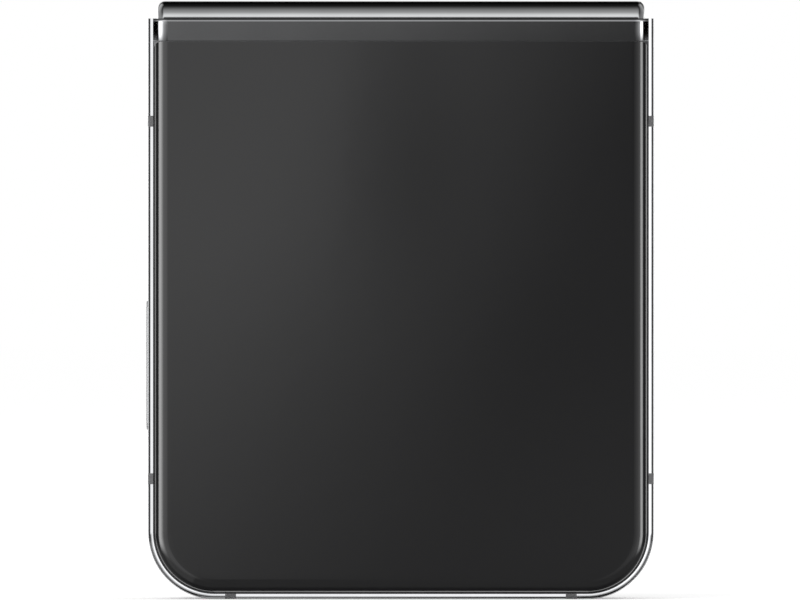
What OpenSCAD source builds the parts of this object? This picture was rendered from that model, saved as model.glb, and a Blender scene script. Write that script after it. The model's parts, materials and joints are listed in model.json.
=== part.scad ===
// Folding phone, closed and standing on its bottom edges with the hinge on top.
// X runs across the width, Y through the thickness and Z up. The lower half, with the plain back
// glass, faces -Y, and the upper half, with the cover screen and cameras, faces +Y. Each half is
// modelled in its own frame, where Y is the depth from the folded-in screen towards the back glass.

/* [Frame] */
// Width across the two side rails
body_w = 71.9; // [70:0.1:76]
// Height of one half, from its bottom edge to the fold
half_h = 82.55; // [81:0.05:90]
// Thickness of one half's metal frame and back glass
half_t = 6.9; // [6.7:0.1:8]
// Gap between the frames of the closed halves
closed_gap = 1.3; // [1.2:0.05:1.5]
// Outer radius of the bottom corners
corner_r = 9.5; // [8:0.5:11]
// Rounding of the rail's edge beside the back glass
back_edge_r = 0.7; // [0.3:0.05:0.75]
// Rounding of the rail's edge beside the screen
front_edge_r = 0.5; // [0.2:0.05:0.6]
// Width of the rail's lip round the back glass
lip_w = 0.8; // [0.75:0.05:1]
// Thickness of the rails' wall
rail_wall = 2; // [1.8:0.05:2.2]
// Thickness of the side walls beside the hinge
hinge_wall = 1.14; // [1:0.02:1.3]
// Thickness of the web between the screen and the batteries
web_t = 0.8; // [0.6:0.1:0.8]
// Height of the beam that carries the hinge, with its band
beam_h = 10.3; // [10:0.1:11]
// Height of the bare metal band between the back glass and the fold
band_h = 3.25; // [2.5:0.05:4]
// Play between each half's end and the fold plane
fold_play = 0.05; // [0.03:0.01:0.1]

/* [Glass] */
// Thickness of the back and cover glass
glass_t = 0.7; // [0.6:0.05:0.8]
// Fall of the glass from its flat to its curved edge
crown_drop = 0.4; // [0.2:0.05:0.5]
// Width of the curved edge
crown_w = 2; // [1.5:0.1:3]
// Thickness of the adhesive seal under the glass
seal_t = 0.15; // [0.1:0.05:0.2]
// Width of the adhesive seal
seal_w = 1; // [0.8:0.1:1]
// Joint between the glass and the metal round it
glass_joint = 0.05; // [0.03:0.01:0.1]
// Radius of the glass's corners beside the band
glass_corner_r = 1; // [0.5:0.1:2]

/* [Folding screen] */
// Thickness of the folding screen
screen_t = 0.5; // [0.4:0.02:0.54]
// Distance from the frame's side to the screen's edge
screen_inset = 1.4; // [1.3:0.01:1.5]
// Rise of the soft bezel above the screen
bezel_rise = 0.6; // [0.4:0.05:0.6]
// Width of the bezel
bezel_w = 1.6; // [1.2:0.1:3]
// Distance from the frame's side to the bezel
bezel_inset = 0.7; // [0.6:0.05:0.9]
// Radius of the opening for the front camera
front_lens_r = 1.7; // [1.4:0.1:2]

/* [Hinge] */
// Depth of each fold axis below the screen's face
axis_depth = 1.25; // [1.2:0.01:1.3]
// Rise of the spine above the closed halves
spine_rise = 2.55; // [2.4:0.05:2.6]
// Wall of the spine's cover
spine_wall = 0.6; // [0.5:0.05:0.6]
// Distance from the frame's side to the end of the spine's cover
spine_inset = 1.28; // [1.25:0.01:1.6]
// Radius of the spine's corners, seen from the front
spine_corner_r = 1.1; // [0.5:0.1:2]
// Play between the spine and the halves
spine_play = 0.15; // [0.1:0.01:0.2]
// Distance of each hinge block's middle from the frame's side
block_side = 13.95; // [12:0.05:18]
// Wall of the hinge blocks
block_wall = 0.8; // [0.6:0.1:1]
// Inner radius of the curved tongues
tongue_r = 2.6; // [2.5:0.05:2.65]
// Thickness of the curved tongues
tongue_t = 0.8; // [0.6:0.05:0.8]
// Width of the curved tongues
tongue_w = 5; // [3:0.5:8]
// Play of the tongues in their grooves
tongue_play = 0.05; // [0.03:0.01:0.06]
// Thickness of the hinge arms and leaves
leaf_t = 0.6; // [0.5:0.02:0.62]
// Face width of each gear sector
gear_w = 2; // [1.5:0.1:3]
// Teeth of each pinion
pinion_teeth = 10; // [10:1:12]
// Teeth that a full turn of each sector would have
sector_teeth = 24; // [22:2:26]
// Radius of the pinions' shafts
shaft_r = 0.35; // [0.25:0.05:0.4]
// Thickness of the friction washers
washer_t = 0.2; // [0.1:0.05:0.3]

/* [Keys and card tray] */
// Length of the volume key
volume_len = 18.4; // [12:0.1:22]
// Drop of the volume key's middle below the middle of the rail between its breaks
volume_drop = 9.3; // [8.5:0.1:10.5]
// Length of the power key
power_len = 13; // [8:0.5:15]
// Rise of the power key's middle above the middle of the rail between its breaks
power_lift = 11; // [9.5:0.5:15.5]
// Width of the keys, through the thickness of the phone
key_w = 2; // [1.6:0.1:2.4]
// Rise of the volume key above the rail
key_rise = 0.37; // [0.2:0.01:0.6]
// Play of the keys in the rail
key_play = 0.1; // [0.06:0.01:0.15]
// Travel of the keys
key_stroke = 0.2; // [0.1:0.05:0.25]
// Length of the card tray's face
tray_len = 15; // [14:0.2:16]
// Height of the card tray's middle
tray_z = 26.5; // [26:0.1:27]
// Depth of the card tray from the rail's face
tray_depth = 15.5; // [15:0.5:18]

/* [Cameras] */
// Distance from the frame's side to the outer rear camera
outer_camera_side = 12.45; // [12.2:0.05:12.6]
// Distance from the middle to the inner rear camera
inner_camera_x = 7.6; // [7.6:0.1:8.5]
// Height of the rear cameras
camera_z = 12.5; // [12:0.5:13]
// Outer radius of the rings round the rear lenses
ring_r = 6; // [5:0.1:6.5]
// Rise of the rings above the cover glass
ring_rise = 0.8; // [0.5:0.1:1.2]
// Width of the rings
ring_w = 1; // [0.8:0.1:1.5]
// Width of a rear camera's housing
camera_w = 9.6; // [8:0.2:10]
// Radius of the flash lens
flash_r = 2.1; // [1.5:0.1:2.5]

/* [Port, grille and antenna breaks] */
// Width of the charging port's mouth
port_w = 8.34; // [8.34:0.01:8.5]
// Height of the charging port's mouth
port_h = 2.56; // [2.56:0.01:2.7]
// Wall of the charging port's shell
port_wall = 0.3; // [0.2:0.05:0.35]
// Depth of the charging port
port_len = 7.2; // [6.5:0.1:7.4]
// Number of sound holes in the bottom rail
hole_count = 5; // [3:1:5]
// Radius of the sound holes
hole_r = 0.55; // [0.3:0.05:0.7]
// Distance between the sound holes
hole_pitch = 1.9; // [1.7:0.1:1.95]
// Height of the lower pair of antenna breaks
break_low_z = 17.1; // [16:0.1:17.1]
// Distance from the fold to the upper pair of antenna breaks
break_drop = 14.65; // [14.5:0.05:16]
// Distance from the frame's side to the bottom antenna breaks
break_side = 11.75; // [11:0.05:13]
// Width of the antenna breaks
break_w = 1.56; // [1:0.02:2]
// Depth of the antenna breaks into the rail
break_depth = 1.2; // [0.9:0.05:1.4]

/* [Inside] */
// Thickness of the batteries
battery_t = 4; // [3.5:0.1:4]
// Distance from the frame's side to the batteries
battery_side = 7.45; // [7:0.05:10]
// Room between the batteries and what lies above and below them
battery_room = 1.7; // [1:0.1:3]
// Thickness of the circuit boards
board_t = 0.75; // [0.6:0.05:0.8]
// Height of the main board
main_board_h = 31; // [31:0.5:32]
// Height of the charging board
sub_board_h = 14.5; // [14:0.5:15]
// Turns of the charging coil
coil_turns = 9; // [5:1:10]
// Distance between the coil's turns
coil_pitch = 1.5; // [1.2:0.1:1.6]
// Distance from the edge of the battery to the coil's outer turn
coil_margin = 3.5; // [3:0.1:6]
// Width of the coil's wire
coil_wire = 1.1; // [0.6:0.1:1.1]
// Thickness of the rear carriers
carrier_t = 0.5; // [0.4:0.05:0.5]
// Radius of the carriers' screw posts
post_r = 1.6; // [1.4:0.1:1.7]
// Radius of the screws' shanks
screw_r = 0.5; // [0.4:0.05:0.6]
// Radius of the screws' heads
head_r = 1.05; // [0.9:0.05:1.1]
// Distance from the frame's side to the cover screen
cover_screen_side = 4.95; // [4:0.05:7]
// Height of the cover screen's lower edge
cover_screen_low = 22; // [21:0.5:30]
// Play between the parts inside
fit = 0.05; // [0.03:0.01:0.08]

/* [Hidden] */
$fn = 96;
far = 60;
pressure_angle = 20;
side_x = body_w / 2;
axis_y = closed_gap / 2 + axis_depth;
axis_z = half_h - axis_y;
frame_top = half_h - fold_play;
rail_top = half_t - crown_drop;
rail_mid = rail_top / 2;
ledge = half_t - glass_t - seal_t;
glass_inset = lip_w + glass_joint;
glass_top = frame_top - band_h - glass_joint;
crown_r = (pow(crown_w, 2) + pow(crown_drop, 2)) / (2 * crown_drop);
beam_z = frame_top - beam_h;
spine_r = axis_y + spine_rise;
spine_top = axis_z + spine_r;
spine_in_r = spine_r - spine_wall;
cavity_r = spine_r + spine_play;
cavity_x = side_x - hinge_wall;
spine_len = body_w - 2 * spine_inset;
bezel_top = axis_z + 0.3;
// The screen's bend: its middle layer is as long as the flat stretch that it opens into.
bend_in_r = closed_gap / 2;
bend_out_r = bend_in_r + screen_t;
bend_z = axis_z + axis_y - (bend_in_r + screen_t / 2) * PI / 2;
bend_top = bend_z + bend_out_r;
slot_r = bend_out_r + fit;
leaf_depth = screen_t + 0.03;
leaf_x = cavity_x - spine_wall - fit - 0.3;
leaf_low_z = beam_z + 2 * fit;
leaf_top = axis_z + axis_y - 3 * fit;
leaf_seat = leaf_depth + leaf_t;
// The gear train: the module for which two pinions that meet at the middle also meet the sectors.
pinion_z = (bend_top + spine_top - spine_wall) / 2;
train_rise = pinion_z - axis_z;
train_a = (pow(pinion_teeth + sector_teeth, 2) - pow(pinion_teeth, 2)) / 4;
train_b = axis_y * pinion_teeth;
train_c = pow(train_rise, 2) + pow(axis_y, 2);
tooth = (sqrt(pow(train_b, 2) + 4 * train_a * train_c) - train_b) / (2 * train_a);
pinion_r = tooth * pinion_teeth / 2;
sector_r = tooth * sector_teeth / 2;
tip_add = 0.75 * tooth;
root_drop = 1.1 * tooth;
tooth_play = 0.03;
mesh_dir = 90 + atan2(axis_y - pinion_r, train_rise);
sector_step = 360 / sector_teeth;
pinion_step = 360 / pinion_teeth;
pinion_dir = mesh_dir - 180 + pinion_step / 4;
tongue_low = -102;
tongue_high = 22;
groove_len = tongue_w + 2 * fit;
pocket_len = 2 * gear_w + 4 * fit + 2 * washer_t;
block_len = groove_len + pocket_len + 3 * block_wall;
block_x = side_x - block_side;
block_low_x = block_x - block_len / 2;
groove_x = block_low_x + block_wall;
pocket_x = groove_x + groove_len + block_wall;
block_r = spine_in_r - fit;
block_low_z = axis_z + fit;
leaf_screws = [7, leaf_x - 2.86];
leaf_screw_z = (leaf_low_z + axis_z - cavity_r) / 2;
arm_screws = [block_x - 3.5, block_x + 3.5];
// The keys and the card tray
break_high_z = half_h - break_drop;
keys_mid_z = (break_low_z + break_high_z) / 2;
volume_z = keys_mid_z - volume_drop;
power_z = keys_mid_z + power_lift;
key_in_x = side_x - rail_wall;
flange_gap = key_stroke;
flange_t = 0.4;
flange_lip = 0.6;
pusher_t = 0.2;
pusher_r = 0.6;
volume_domes = [volume_z - volume_len / 3, volume_z + volume_len / 3];
dome_x = key_in_x - flange_gap - flange_t - pusher_t - key_stroke - fit;
dome_t = 0.3;
dome_r = 1.2;
domes_low_z = volume_domes[0] - 2;
domes_h = power_z + 4 - domes_low_z;
flex_t = 0.12;
tray_t = 1.3;
tray_w = 12.4;
tray_face_t = 1.5;
tray_face_w = key_w + 0.2;
card_l = 12.3;
card_w = 8.8;
card_t = 0.7;
// Inside
bay_t = screen_t + web_t + fit;
board_low_z = 5;
board_top_t = bay_t + board_t;
post_x = side_x - rail_wall - post_r - 1;
post_z = 14.5;
carrier_low_t = ledge - carrier_t - 2 * fit;
carrier_top_t = carrier_low_t + carrier_t;
carrier_top_z = 20;
ring_in_r = ring_r - ring_w;
ring_barrel_r = ring_r - 0.5;
camera_xs = [-side_x + outer_camera_side, -inner_camera_x];
flash_x = camera_xs[1] + camera_w / 2 + 6.6;
front_camera_z = 6.4;
front_camera_w = 5.2;
magnet_x = side_x - 11.65;
magnet_l = 7.4;
hole_x = magnet_x - magnet_l / 2 - 9.1;
mic_x = -10;
break_x = side_x - break_side;
reader_low_x = side_x - tray_depth - 1.2;
lower_battery_z = board_low_z + sub_board_h + battery_room;
upper_battery_z = board_low_z + main_board_h + battery_room;
battery_top_z = beam_z - battery_room;
coil_z = (lower_battery_z + battery_top_z) / 2;
coil_r = min(side_x - battery_side, (battery_top_z - lower_battery_z) / 2) - coil_margin;

// ---- Places of the two halves, and of drawings on their planes ----

module at_lower() translate([0, -closed_gap / 2, 0]) mirror([0, 1, 0]) children();

module at_upper() translate([0, closed_gap / 2, 0]) children();

module both_sides() {
    children();
    mirror([1, 0, 0]) children();
}

// A drawing with Y to the right and Z up, drawn out along X
module along_x(x0, length) translate([x0, 0, 0]) rotate([90, 0, 90]) linear_extrude(length) children();

// A drawing with X to the right and Z up, drawn out from depth t0 to t1
module through(t0, t1) translate([0, t1, 0]) rotate([90, 0, 0]) linear_extrude(t1 - t0) children();

// ---- Drawings ----

// A slot with round ends, upright and centred
module slot_2d(length, width) {
    square([width, length - width], center = true);
    for (s = [-1, 1]) translate([0, s * (length - width) / 2]) circle(width / 2);
}

module rounded_2d(x0, z0, x1, z1, r) {
    translate([x0 + r, z0]) square([x1 - x0 - 2 * r, z1 - z0]);
    translate([x0, z0 + r]) square([x1 - x0, z1 - z0 - 2 * r]);
    for (x = [x0 + r, x1 - r]) for (z = [z0 + r, z1 - r]) translate([x, z]) circle(r);
}

// The outline of a half at a distance in from its edge, up to a height
module outline_2d(inset, top) {
    wide = side_x - inset;
    bend = corner_r - inset;
    translate([-wide, corner_r]) square([2 * wide, top - corner_r]);
    translate([-wide + bend, inset]) square([2 * (wide - bend), top - inset]);
    for (s = [-1, 1]) translate([s * (wide - bend), corner_r]) circle(bend);
}

module slab(inset, top, t0, t1) through(t0, t1) outline_2d(inset, top);

module block(x0, z0, x1, z1, t0, t1, r = 0.5) through(t0, t1) rounded_2d(x0, z0, x1, z1, r);

module disc(x, z, r, t0, t1) translate([x, t1, z]) rotate([90, 0, 0]) cylinder(h = t1 - t0, r = r);

// Sweeps a section (X inward from the outline, Y depth) up both sides and round the bottom
module sweep_round(inset, top) {
    wide = side_x - inset;
    bend = corner_r - inset;
    both_sides() {
        translate([-wide, 0, corner_r]) linear_extrude(top - corner_r) children();
        translate([-wide + bend, 0, corner_r]) rotate([-90, 0, 0]) rotate([0, 0, 90])
            rotate_extrude(angle = 90) translate([bend, 0]) mirror([1, 0]) children();
    }
    translate([0, 0, inset]) rotate([0, -90, 0])
        linear_extrude(2 * (wide - bend), center = true) children();
}

// A bar whose two outer edges are rounded
module rounded_edge_2d(width, t0, t1, r0, r1) {
    translate([0, t0 + r0]) square([width, t1 - t0 - r0 - r1]);
    translate([r0, t0]) square([width - r0, t1 - t0 - r1]);
    translate([r1, t1 - r1 - 0.1]) square([width - r1, r1 + 0.1]);
    intersection() {
        translate([0, t0]) square([r0 + 0.01, r0 + 0.01]);
        translate([r0, t0 + r0]) circle(r0);
    }
    intersection() {
        translate([0, t1 - r1 - 0.01]) square([r1 + 0.01, r1 + 0.01]);
        translate([r1, t1 - r1]) circle(r1);
    }
}

// The curved edge that the glass and the metal band share
module crown_2d(width, t0) {
    intersection() {
        translate([0, t0]) square([crown_w, half_t - t0]);
        translate([crown_w, half_t - crown_r]) circle(crown_r, $fn = 360);
    }
    translate([crown_w - 0.01, t0]) square([width - crown_w + 0.01, half_t - t0]);
}

// A ring's sector between two directions
module arc_2d(r0, r1, a0, a1) {
    difference() {
        circle(r1);
        circle(r0);
        rotate(a1) translate([-far, 0]) square([2 * far, far]);
        if (a1 - a0 < 180) rotate(a0) translate([-far, -far]) square([2 * far, far]);
    }
}

// ---- Gear teeth ----

function involute(a) = tan(a) * 180 / PI - a;

// Half the angle that a tooth takes up at radius r
function tooth_half(r, pitch, teeth) =
    let (base = pitch * cos(pressure_angle))
    90 / teeth - tooth_play / pitch * 90 / PI
    + involute(pressure_angle) - (r > base ? involute(acos(base / r)) : 0);

// One tooth's corners, anticlockwise, about direction dir
function tooth_points(dir, pitch, teeth) =
    let (base = pitch * cos(pressure_angle), tip = pitch + tip_add)
    let (radii = [pitch - root_drop, base, pitch, (pitch + tip) / 2, tip])
    concat(
        [for (r = radii) let (a = dir - tooth_half(r, pitch, teeth)) r * [cos(a), sin(a)]],
        [for (i = [4:-1:0]) let (r = radii[i], a = dir + tooth_half(r, pitch, teeth)) r * [cos(a), sin(a)]]
    );

module pinion_2d(dir) {
    difference() {
        polygon([for (i = [0:pinion_teeth - 1])
            each tooth_points(dir + i * pinion_step, pinion_r, pinion_teeth)]);
        circle(shaft_r + 0.03);
    }
}

// ---- Frames ----

module rail_2d() {
    rounded_edge_2d(lip_w, 0, rail_top, front_edge_r, back_edge_r);
    translate([lip_w - 0.2, 0]) square([screen_inset - lip_w + 0.15, ledge]);
    translate([lip_w - 0.2, screen_t]) square([rail_wall - lip_w + 0.2, ledge - screen_t]);
}

module break_boxes() {
    for (z = [break_low_z, break_high_z]) both_sides()
        translate([-side_x - 1, -1, z - break_w / 2]) cube([break_depth + 1, half_t + 2, break_w]);
    for (s = [-1, 1]) translate([s * break_x - break_w / 2, -1, -1])
        cube([break_w, half_t + 2, break_depth + 1]);
}

module antenna_breaks() {
    intersection() {
        sweep_round(0, frame_top) rail_2d();
        break_boxes();
    }
}

// The room for the spine, which turns about the fold axis
module spine_cavity() {
    along_x(-cavity_x, 2 * cavity_x) {
        translate([axis_depth, axis_z]) circle(cavity_r);
        translate([-1, axis_z - cavity_r]) square([axis_depth + 1, far]);
        translate([-1, axis_z]) square([axis_depth + cavity_r + 1, far]);
    }
    along_x(-far, 2 * far) difference() {
        translate([-1, axis_z]) square([axis_depth + 1, far]);
        translate([axis_depth, axis_z]) circle(axis_y - fold_play);
    }
}

module carrier_posts() {
    for (s = [-1, 1]) difference() {
        disc(s * post_x, post_z, post_r, screen_t + web_t / 2, carrier_low_t);
        disc(s * post_x, post_z, screw_r, carrier_low_t - 3, carrier_low_t + 1);
    }
}

module half_frame() {
    difference() {
        union() {
            sweep_round(0, frame_top) rail_2d();
            slab(rail_wall - 0.1, beam_z + 0.1, screen_t, screen_t + web_t);
            translate([-cavity_x, leaf_seat, beam_z]) cube([2 * cavity_x, ledge - leaf_seat, beam_h]);
            both_sides() translate([-side_x + glass_inset, 0, frame_top - band_h]) linear_extrude(band_h)
                crown_2d(side_x - glass_inset, ledge - 1);
            translate([-side_x + lip_w / 2, ledge - 1, frame_top - band_h])
                cube([body_w - lip_w, 1.1, band_h]);
        }
        spine_cavity();
        break_boxes();
        for (x = leaf_screws) both_sides() disc(x, leaf_screw_z, screw_r, 0, 3.2);
        for (x = arm_screws) both_sides() disc(x, leaf_screw_z, screw_r, 0, 3.2);
    }
    carrier_posts();
}

module rail_hole(x, r) translate([x, rail_mid, -1]) cylinder(h = rail_wall + 2, r = r);

module lower_frame() color("#8a8d90") at_lower() difference() {
    half_frame();
    translate([0, rail_mid, -1]) linear_extrude(rail_wall + 2) rotate(90)
        slot_2d(port_w + 2 * port_wall + 2 * fit, port_h + 2 * port_wall + 2 * fit);
    for (i = [0:hole_count - 1]) rail_hole(hole_x + i * hole_pitch, hole_r);
    rail_hole(mic_x, 0.5);
}

module key_slot(x, z, length, width) along_x(x - 3, 6) translate([rail_mid, z]) slot_2d(length, width);

module upper_frame() color("#8a8d90") at_upper() difference() {
    half_frame();
    key_slot(-side_x, volume_z, volume_len + 2 * key_play, key_w + 2 * key_play);
    key_slot(-side_x, power_z, power_len + 2 * key_play, key_w + 2 * key_play);
    key_slot(side_x, tray_z, tray_len + 2 * fit, tray_face_w + 2 * fit);
    rail_hole(mic_x, 0.5);
    disc(0, front_camera_z, front_lens_r + 0.3, 0, 2);
}

module lower_antenna_breaks() color("#55585b") at_lower() antenna_breaks();

module upper_antenna_breaks() color("#55585b") at_upper() antenna_breaks();

// ---- Glass ----

// Takes the square corners beside the band down to their radius
module corner_trims(half_w, top, r) {
    both_sides() through(-1, half_t + 1) difference() {
        translate([half_w - r, top - r]) square([r + 1, r + 1]);
        translate([half_w - r, top - r]) circle(r);
    }
}

module glass_plate() {
    difference() {
        union() {
            sweep_round(glass_inset, glass_top) crown_2d(crown_w + 0.5, half_t - glass_t);
            slab(glass_inset + crown_w, glass_top, half_t - glass_t, half_t);
        }
        corner_trims(side_x - glass_inset, glass_top, glass_corner_r);
    }
}

module glass_seal() {
    inset = glass_inset + fit;
    top = glass_top - fit;
    difference() {
        slab(inset, top, ledge, ledge + seal_t);
        slab(inset + seal_w, top - seal_w, ledge - 1, half_t);
        corner_trims(side_x - inset, top, glass_corner_r);
    }
}

module back_glass() color("#2f3033") at_lower() glass_plate();

module back_glass_seal() color("#202020") at_lower() glass_seal();

module cover_glass() color("#101113") at_upper() difference() {
    glass_plate();
    for (x = camera_xs) disc(x, camera_z, ring_barrel_r + fit, ledge - 1, half_t + 1);
    disc(flash_x, camera_z, flash_r + fit, ledge - 1, half_t + 1);
}

module cover_glass_seal() color("#202020") at_upper() glass_seal();

module cover_screen() color("#08090b") at_upper()
    block(-side_x + cover_screen_side, cover_screen_low, side_x - cover_screen_side, beam_z - 1,
        carrier_low_t + 0.3, half_t - glass_t - 0.01, 3);

// ---- Folding screen and bezels ----

module screen_half() {
    slab(screen_inset, bend_z, 0, screen_t);
}

module lower_screen() color("#0b0c0e") at_lower() screen_half();

module upper_screen() color("#0b0c0e") at_upper() difference() {
    screen_half();
    disc(0, front_camera_z, front_lens_r, -1, 2);
}

module screen_bend() color("#0b0c0e")
    along_x(-side_x + screen_inset, body_w - 2 * screen_inset) translate([0, bend_z]) difference() {
        circle(bend_out_r);
        circle(bend_in_r);
        translate([-far, -far]) square([2 * far, far]);
    }

module bezel() {
    sweep_round(bezel_inset, bezel_top)
        rounded_edge_2d(bezel_w, -bezel_rise, 0, bezel_rise / 2, 0.01);
}

module lower_bezel() color("#161719") at_lower() bezel();

module upper_bezel() color("#161719") at_upper() difference() {
    bezel();
    block(-4, bezel_inset - 1, 4, bezel_inset + 0.3, -1, 1, 0.1);
}

// ---- Hinge: what turns with each half ----

module screw(x, z, t, length) {
    disc(x, z, head_r, t, t + 0.3);
    disc(x, z, screw_r, t + 0.3, t + length);
}

module screw_hole(x, z, t) {
    disc(x, z, head_r + fit, t - 1, t + 0.3);
    disc(x, z, screw_r + fit, t, t + 2);
}

// The plate that backs the screen beside the fold, open where the arms and blocks are
module leaf() {
    difference() {
        block(-leaf_x, leaf_low_z, leaf_x, leaf_top, leaf_depth, leaf_seat, 0.4);
        both_sides() block(block_low_x - fit, leaf_low_z - 1, block_low_x + block_len + fit, leaf_top + 1,
            -1, half_t, 0.1);
        for (x = leaf_screws) both_sides() screw_hole(x, leaf_screw_z, leaf_depth);
    }
}

// A gear sector about the fold axis, kept behind the screen
module sector_2d(first_dir) {
    tooth_count = floor(90 / sector_step) + 1;
    intersection() {
        translate([axis_depth, axis_z]) {
            circle(sector_r - root_drop + 0.01);
            polygon(concat([[0, 0]], [for (i = [tooth_count:-1:0])
                each tooth_points(first_dir - i * sector_step, sector_r, sector_teeth)]));
        }
        translate([leaf_depth, 0]) square([far, 2 * far]);
    }
}

module half_arms(gear_x, first_dir) {
    both_sides() {
        difference() {
            block(block_low_x + fit, leaf_low_z, block_low_x + block_len - fit, axis_z - fit,
                leaf_depth, leaf_seat, 0.2);
            for (x = arm_screws) screw_hole(x, leaf_screw_z, leaf_depth);
        }
        along_x(groove_x + fit, tongue_w) intersection() {
            translate([axis_depth, axis_z]) rotate(-90) arc_2d(tongue_r, tongue_r + tongue_t,
                tongue_low + 90, tongue_high + 90);
            translate([leaf_depth, 0]) square([far, 2 * far]);
        }
        along_x(gear_x, gear_w) sector_2d(first_dir);
    }
}

module lower_leaf() color("#9a9da0") at_lower() leaf();

module upper_leaf() color("#9a9da0") at_upper() leaf();

// The two halves' teeth are half a step apart, so that the four gears mesh in one row.
module lower_hinge_arms() color("#b4b7ba") at_lower()
    half_arms(pocket_x + washer_t + fit, mesh_dir - sector_step / 4);

module upper_hinge_arms() color("#b4b7ba") at_upper()
    half_arms(pocket_x + washer_t + gear_w + 3 * fit, mesh_dir - sector_step * 3 / 4);

module half_screws() {
    both_sides() for (x = concat(leaf_screws, arm_screws)) screw(x, leaf_screw_z, leaf_depth, 2.6);
    both_sides() translate([0, 2 * carrier_top_t, 0]) mirror([0, 1, 0])
        screw(post_x, post_z, carrier_top_t, 2.6);
}

module lower_screws() color("#c8c8c8") at_lower() half_screws();

module upper_screws() color("#c8c8c8") at_upper() half_screws();

// ---- Hinge: the spine ----

module spine_2d(r, low) {
    intersection() {
        union() {
            for (s = [-1, 1]) translate([s * axis_y, axis_z]) circle(r);
            translate([-axis_y, axis_z]) square([2 * axis_y, r]);
        }
        translate([-far, low]) square([2 * far, far]);
    }
}

// The room that the bend of the screen takes up
module bend_slot_2d() {
    translate([0, bend_z]) circle(slot_r);
    translate([-slot_r, axis_z - far]) square([2 * slot_r, bend_z - axis_z + far]);
}

module hinge_cover() color("#6f7478") intersection() {
    union() {
        along_x(-spine_len / 2, spine_len) difference() {
            spine_2d(spine_r, axis_z);
            spine_2d(spine_in_r, axis_z - 1);
        }
        both_sides() along_x(spine_len / 2 - spine_wall, spine_wall) difference() {
            spine_2d(spine_r, axis_z);
            bend_slot_2d();
        }
    }
    translate([0, -far / 2, 0]) through(0, far)
        rounded_2d(-spine_len / 2, axis_z - 5, spine_len / 2, spine_top, spine_corner_r);
}

module groove_2d() {
    for (m = [0, 1]) mirror([m, 0]) translate([axis_y, axis_z]) rotate(-90)
        arc_2d(tongue_r - tongue_play, tongue_r + tongue_t + tongue_play, 60, tongue_high + 183);
}

module pocket_2d() {
    for (m = [0, 1]) mirror([m, 0]) {
        translate([axis_y, axis_z]) circle(sector_r + tip_add + 0.12);
        translate([pinion_r, pinion_z]) circle(pinion_r + tip_add + fit);
    }
    translate([-pinion_r, axis_z]) square([2 * pinion_r, spine_r]);
}

module hinge_block() {
    difference() {
        along_x(block_low_x, block_len) difference() {
            spine_2d(block_r, block_low_z);
            bend_slot_2d();
        }
        along_x(groove_x, groove_len) groove_2d();
        along_x(pocket_x, pocket_len) pocket_2d();
        for (s = [-1, 1]) along_x(pocket_x - block_wall / 2, pocket_len + block_wall)
            translate([s * pinion_r, pinion_z]) circle(shaft_r);
    }
}

module hinge_blocks() color("#a5a8ab") both_sides() hinge_block();

module gear_shafts() color("#d0d2d4") both_sides() for (s = [-1, 1])
    along_x(pocket_x - block_wall / 2, pocket_len + block_wall)
        translate([s * pinion_r, pinion_z]) circle(shaft_r);

module friction_washers() color("#b08d57") both_sides() for (s = [-1, 1])
    for (x = [pocket_x, pocket_x + pocket_len - washer_t]) along_x(x, washer_t)
        translate([s * pinion_r, pinion_z]) difference() {
            circle(pinion_r - fit);
            circle(shaft_r + 0.03);
        }

module pinions(dir) {
    both_sides() along_x(pocket_x + washer_t + fit, pocket_len - 2 * washer_t - 2 * fit)
        translate([pinion_r, pinion_z]) pinion_2d(dir);
}

module upper_pinions() color("#d8b25c") pinions(pinion_dir);

module lower_pinions() color("#d8b25c") mirror([0, 1, 0]) pinions(pinion_dir + pinion_step / 2);

// ---- Keys, switches and card tray ----

module key(z, length, rise, domes) {
    flange_x = -key_in_x + flange_gap;
    along_x(-side_x - rise, rise + rail_wall + flange_gap + flange_t)
        translate([rail_mid, z]) slot_2d(length, key_w);
    along_x(flange_x, flange_t)
        translate([rail_mid, z]) slot_2d(length + 2 * flange_lip, key_w + 2 * flange_lip);
    for (d = domes) along_x(flange_x, flange_t + pusher_t) translate([rail_mid, d]) circle(pusher_r);
}

module volume_key() color("#77797c") at_upper() key(volume_z, volume_len, key_rise, volume_domes);

module power_key() color("#3a3c3f") at_upper() key(power_z, power_len, 0, [power_z]);

module key_switches() color("#c9a24a") at_upper() {
    for (z = concat(volume_domes, [power_z]))
        along_x(-dome_x, dome_t) translate([rail_mid, z]) circle(dome_r);
    along_x(-dome_x + dome_t, flex_t)
        translate([rail_mid - dome_r, domes_low_z]) square([2 * dome_r, domes_h]);
}

module key_bracket() color("#a5a8ab") at_upper()
    along_x(-dome_x + dome_t + flex_t, 0.3)
        translate([bay_t, domes_low_z - 1]) square([carrier_low_t - bay_t, domes_h + 2]);

module card_tray() color("#77797c") at_upper() difference() {
    union() {
        along_x(side_x - tray_face_t, tray_face_t)
            translate([rail_mid, tray_z]) slot_2d(tray_len, tray_face_w);
        block(side_x - tray_depth, tray_z - tray_w / 2, side_x - tray_face_t + 0.1, tray_z + tray_w / 2,
            rail_mid - tray_t / 2, rail_mid + tray_t / 2, 0.8);
    }
    block(side_x - tray_depth + 0.8, tray_z - card_w / 2, side_x - tray_depth + 0.8 + card_l,
        tray_z + card_w / 2, rail_mid - tray_t / 2 + tray_t - card_t, rail_mid + tray_t, 0.6);
    along_x(side_x - tray_face_t - 1, 4) translate([rail_mid, tray_z + tray_w / 2]) circle(0.4);
}

module card_reader() color("#b9bcbf") at_upper() difference() {
    high_x = side_x - rail_wall - 0.6;
    block(reader_low_x, tray_z - tray_w / 2 - 0.6, high_x, tray_z + tray_w / 2 + 0.6,
        board_top_t, rail_mid + 1.3, 0.3);
    translate([reader_low_x + 0.8, rail_mid - tray_t / 2 - 0.15, tray_z - tray_w / 2 - 0.15])
        cube([tray_depth, tray_t + 0.3, tray_w + 0.3]);
}

// ---- Inside the halves ----

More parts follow.
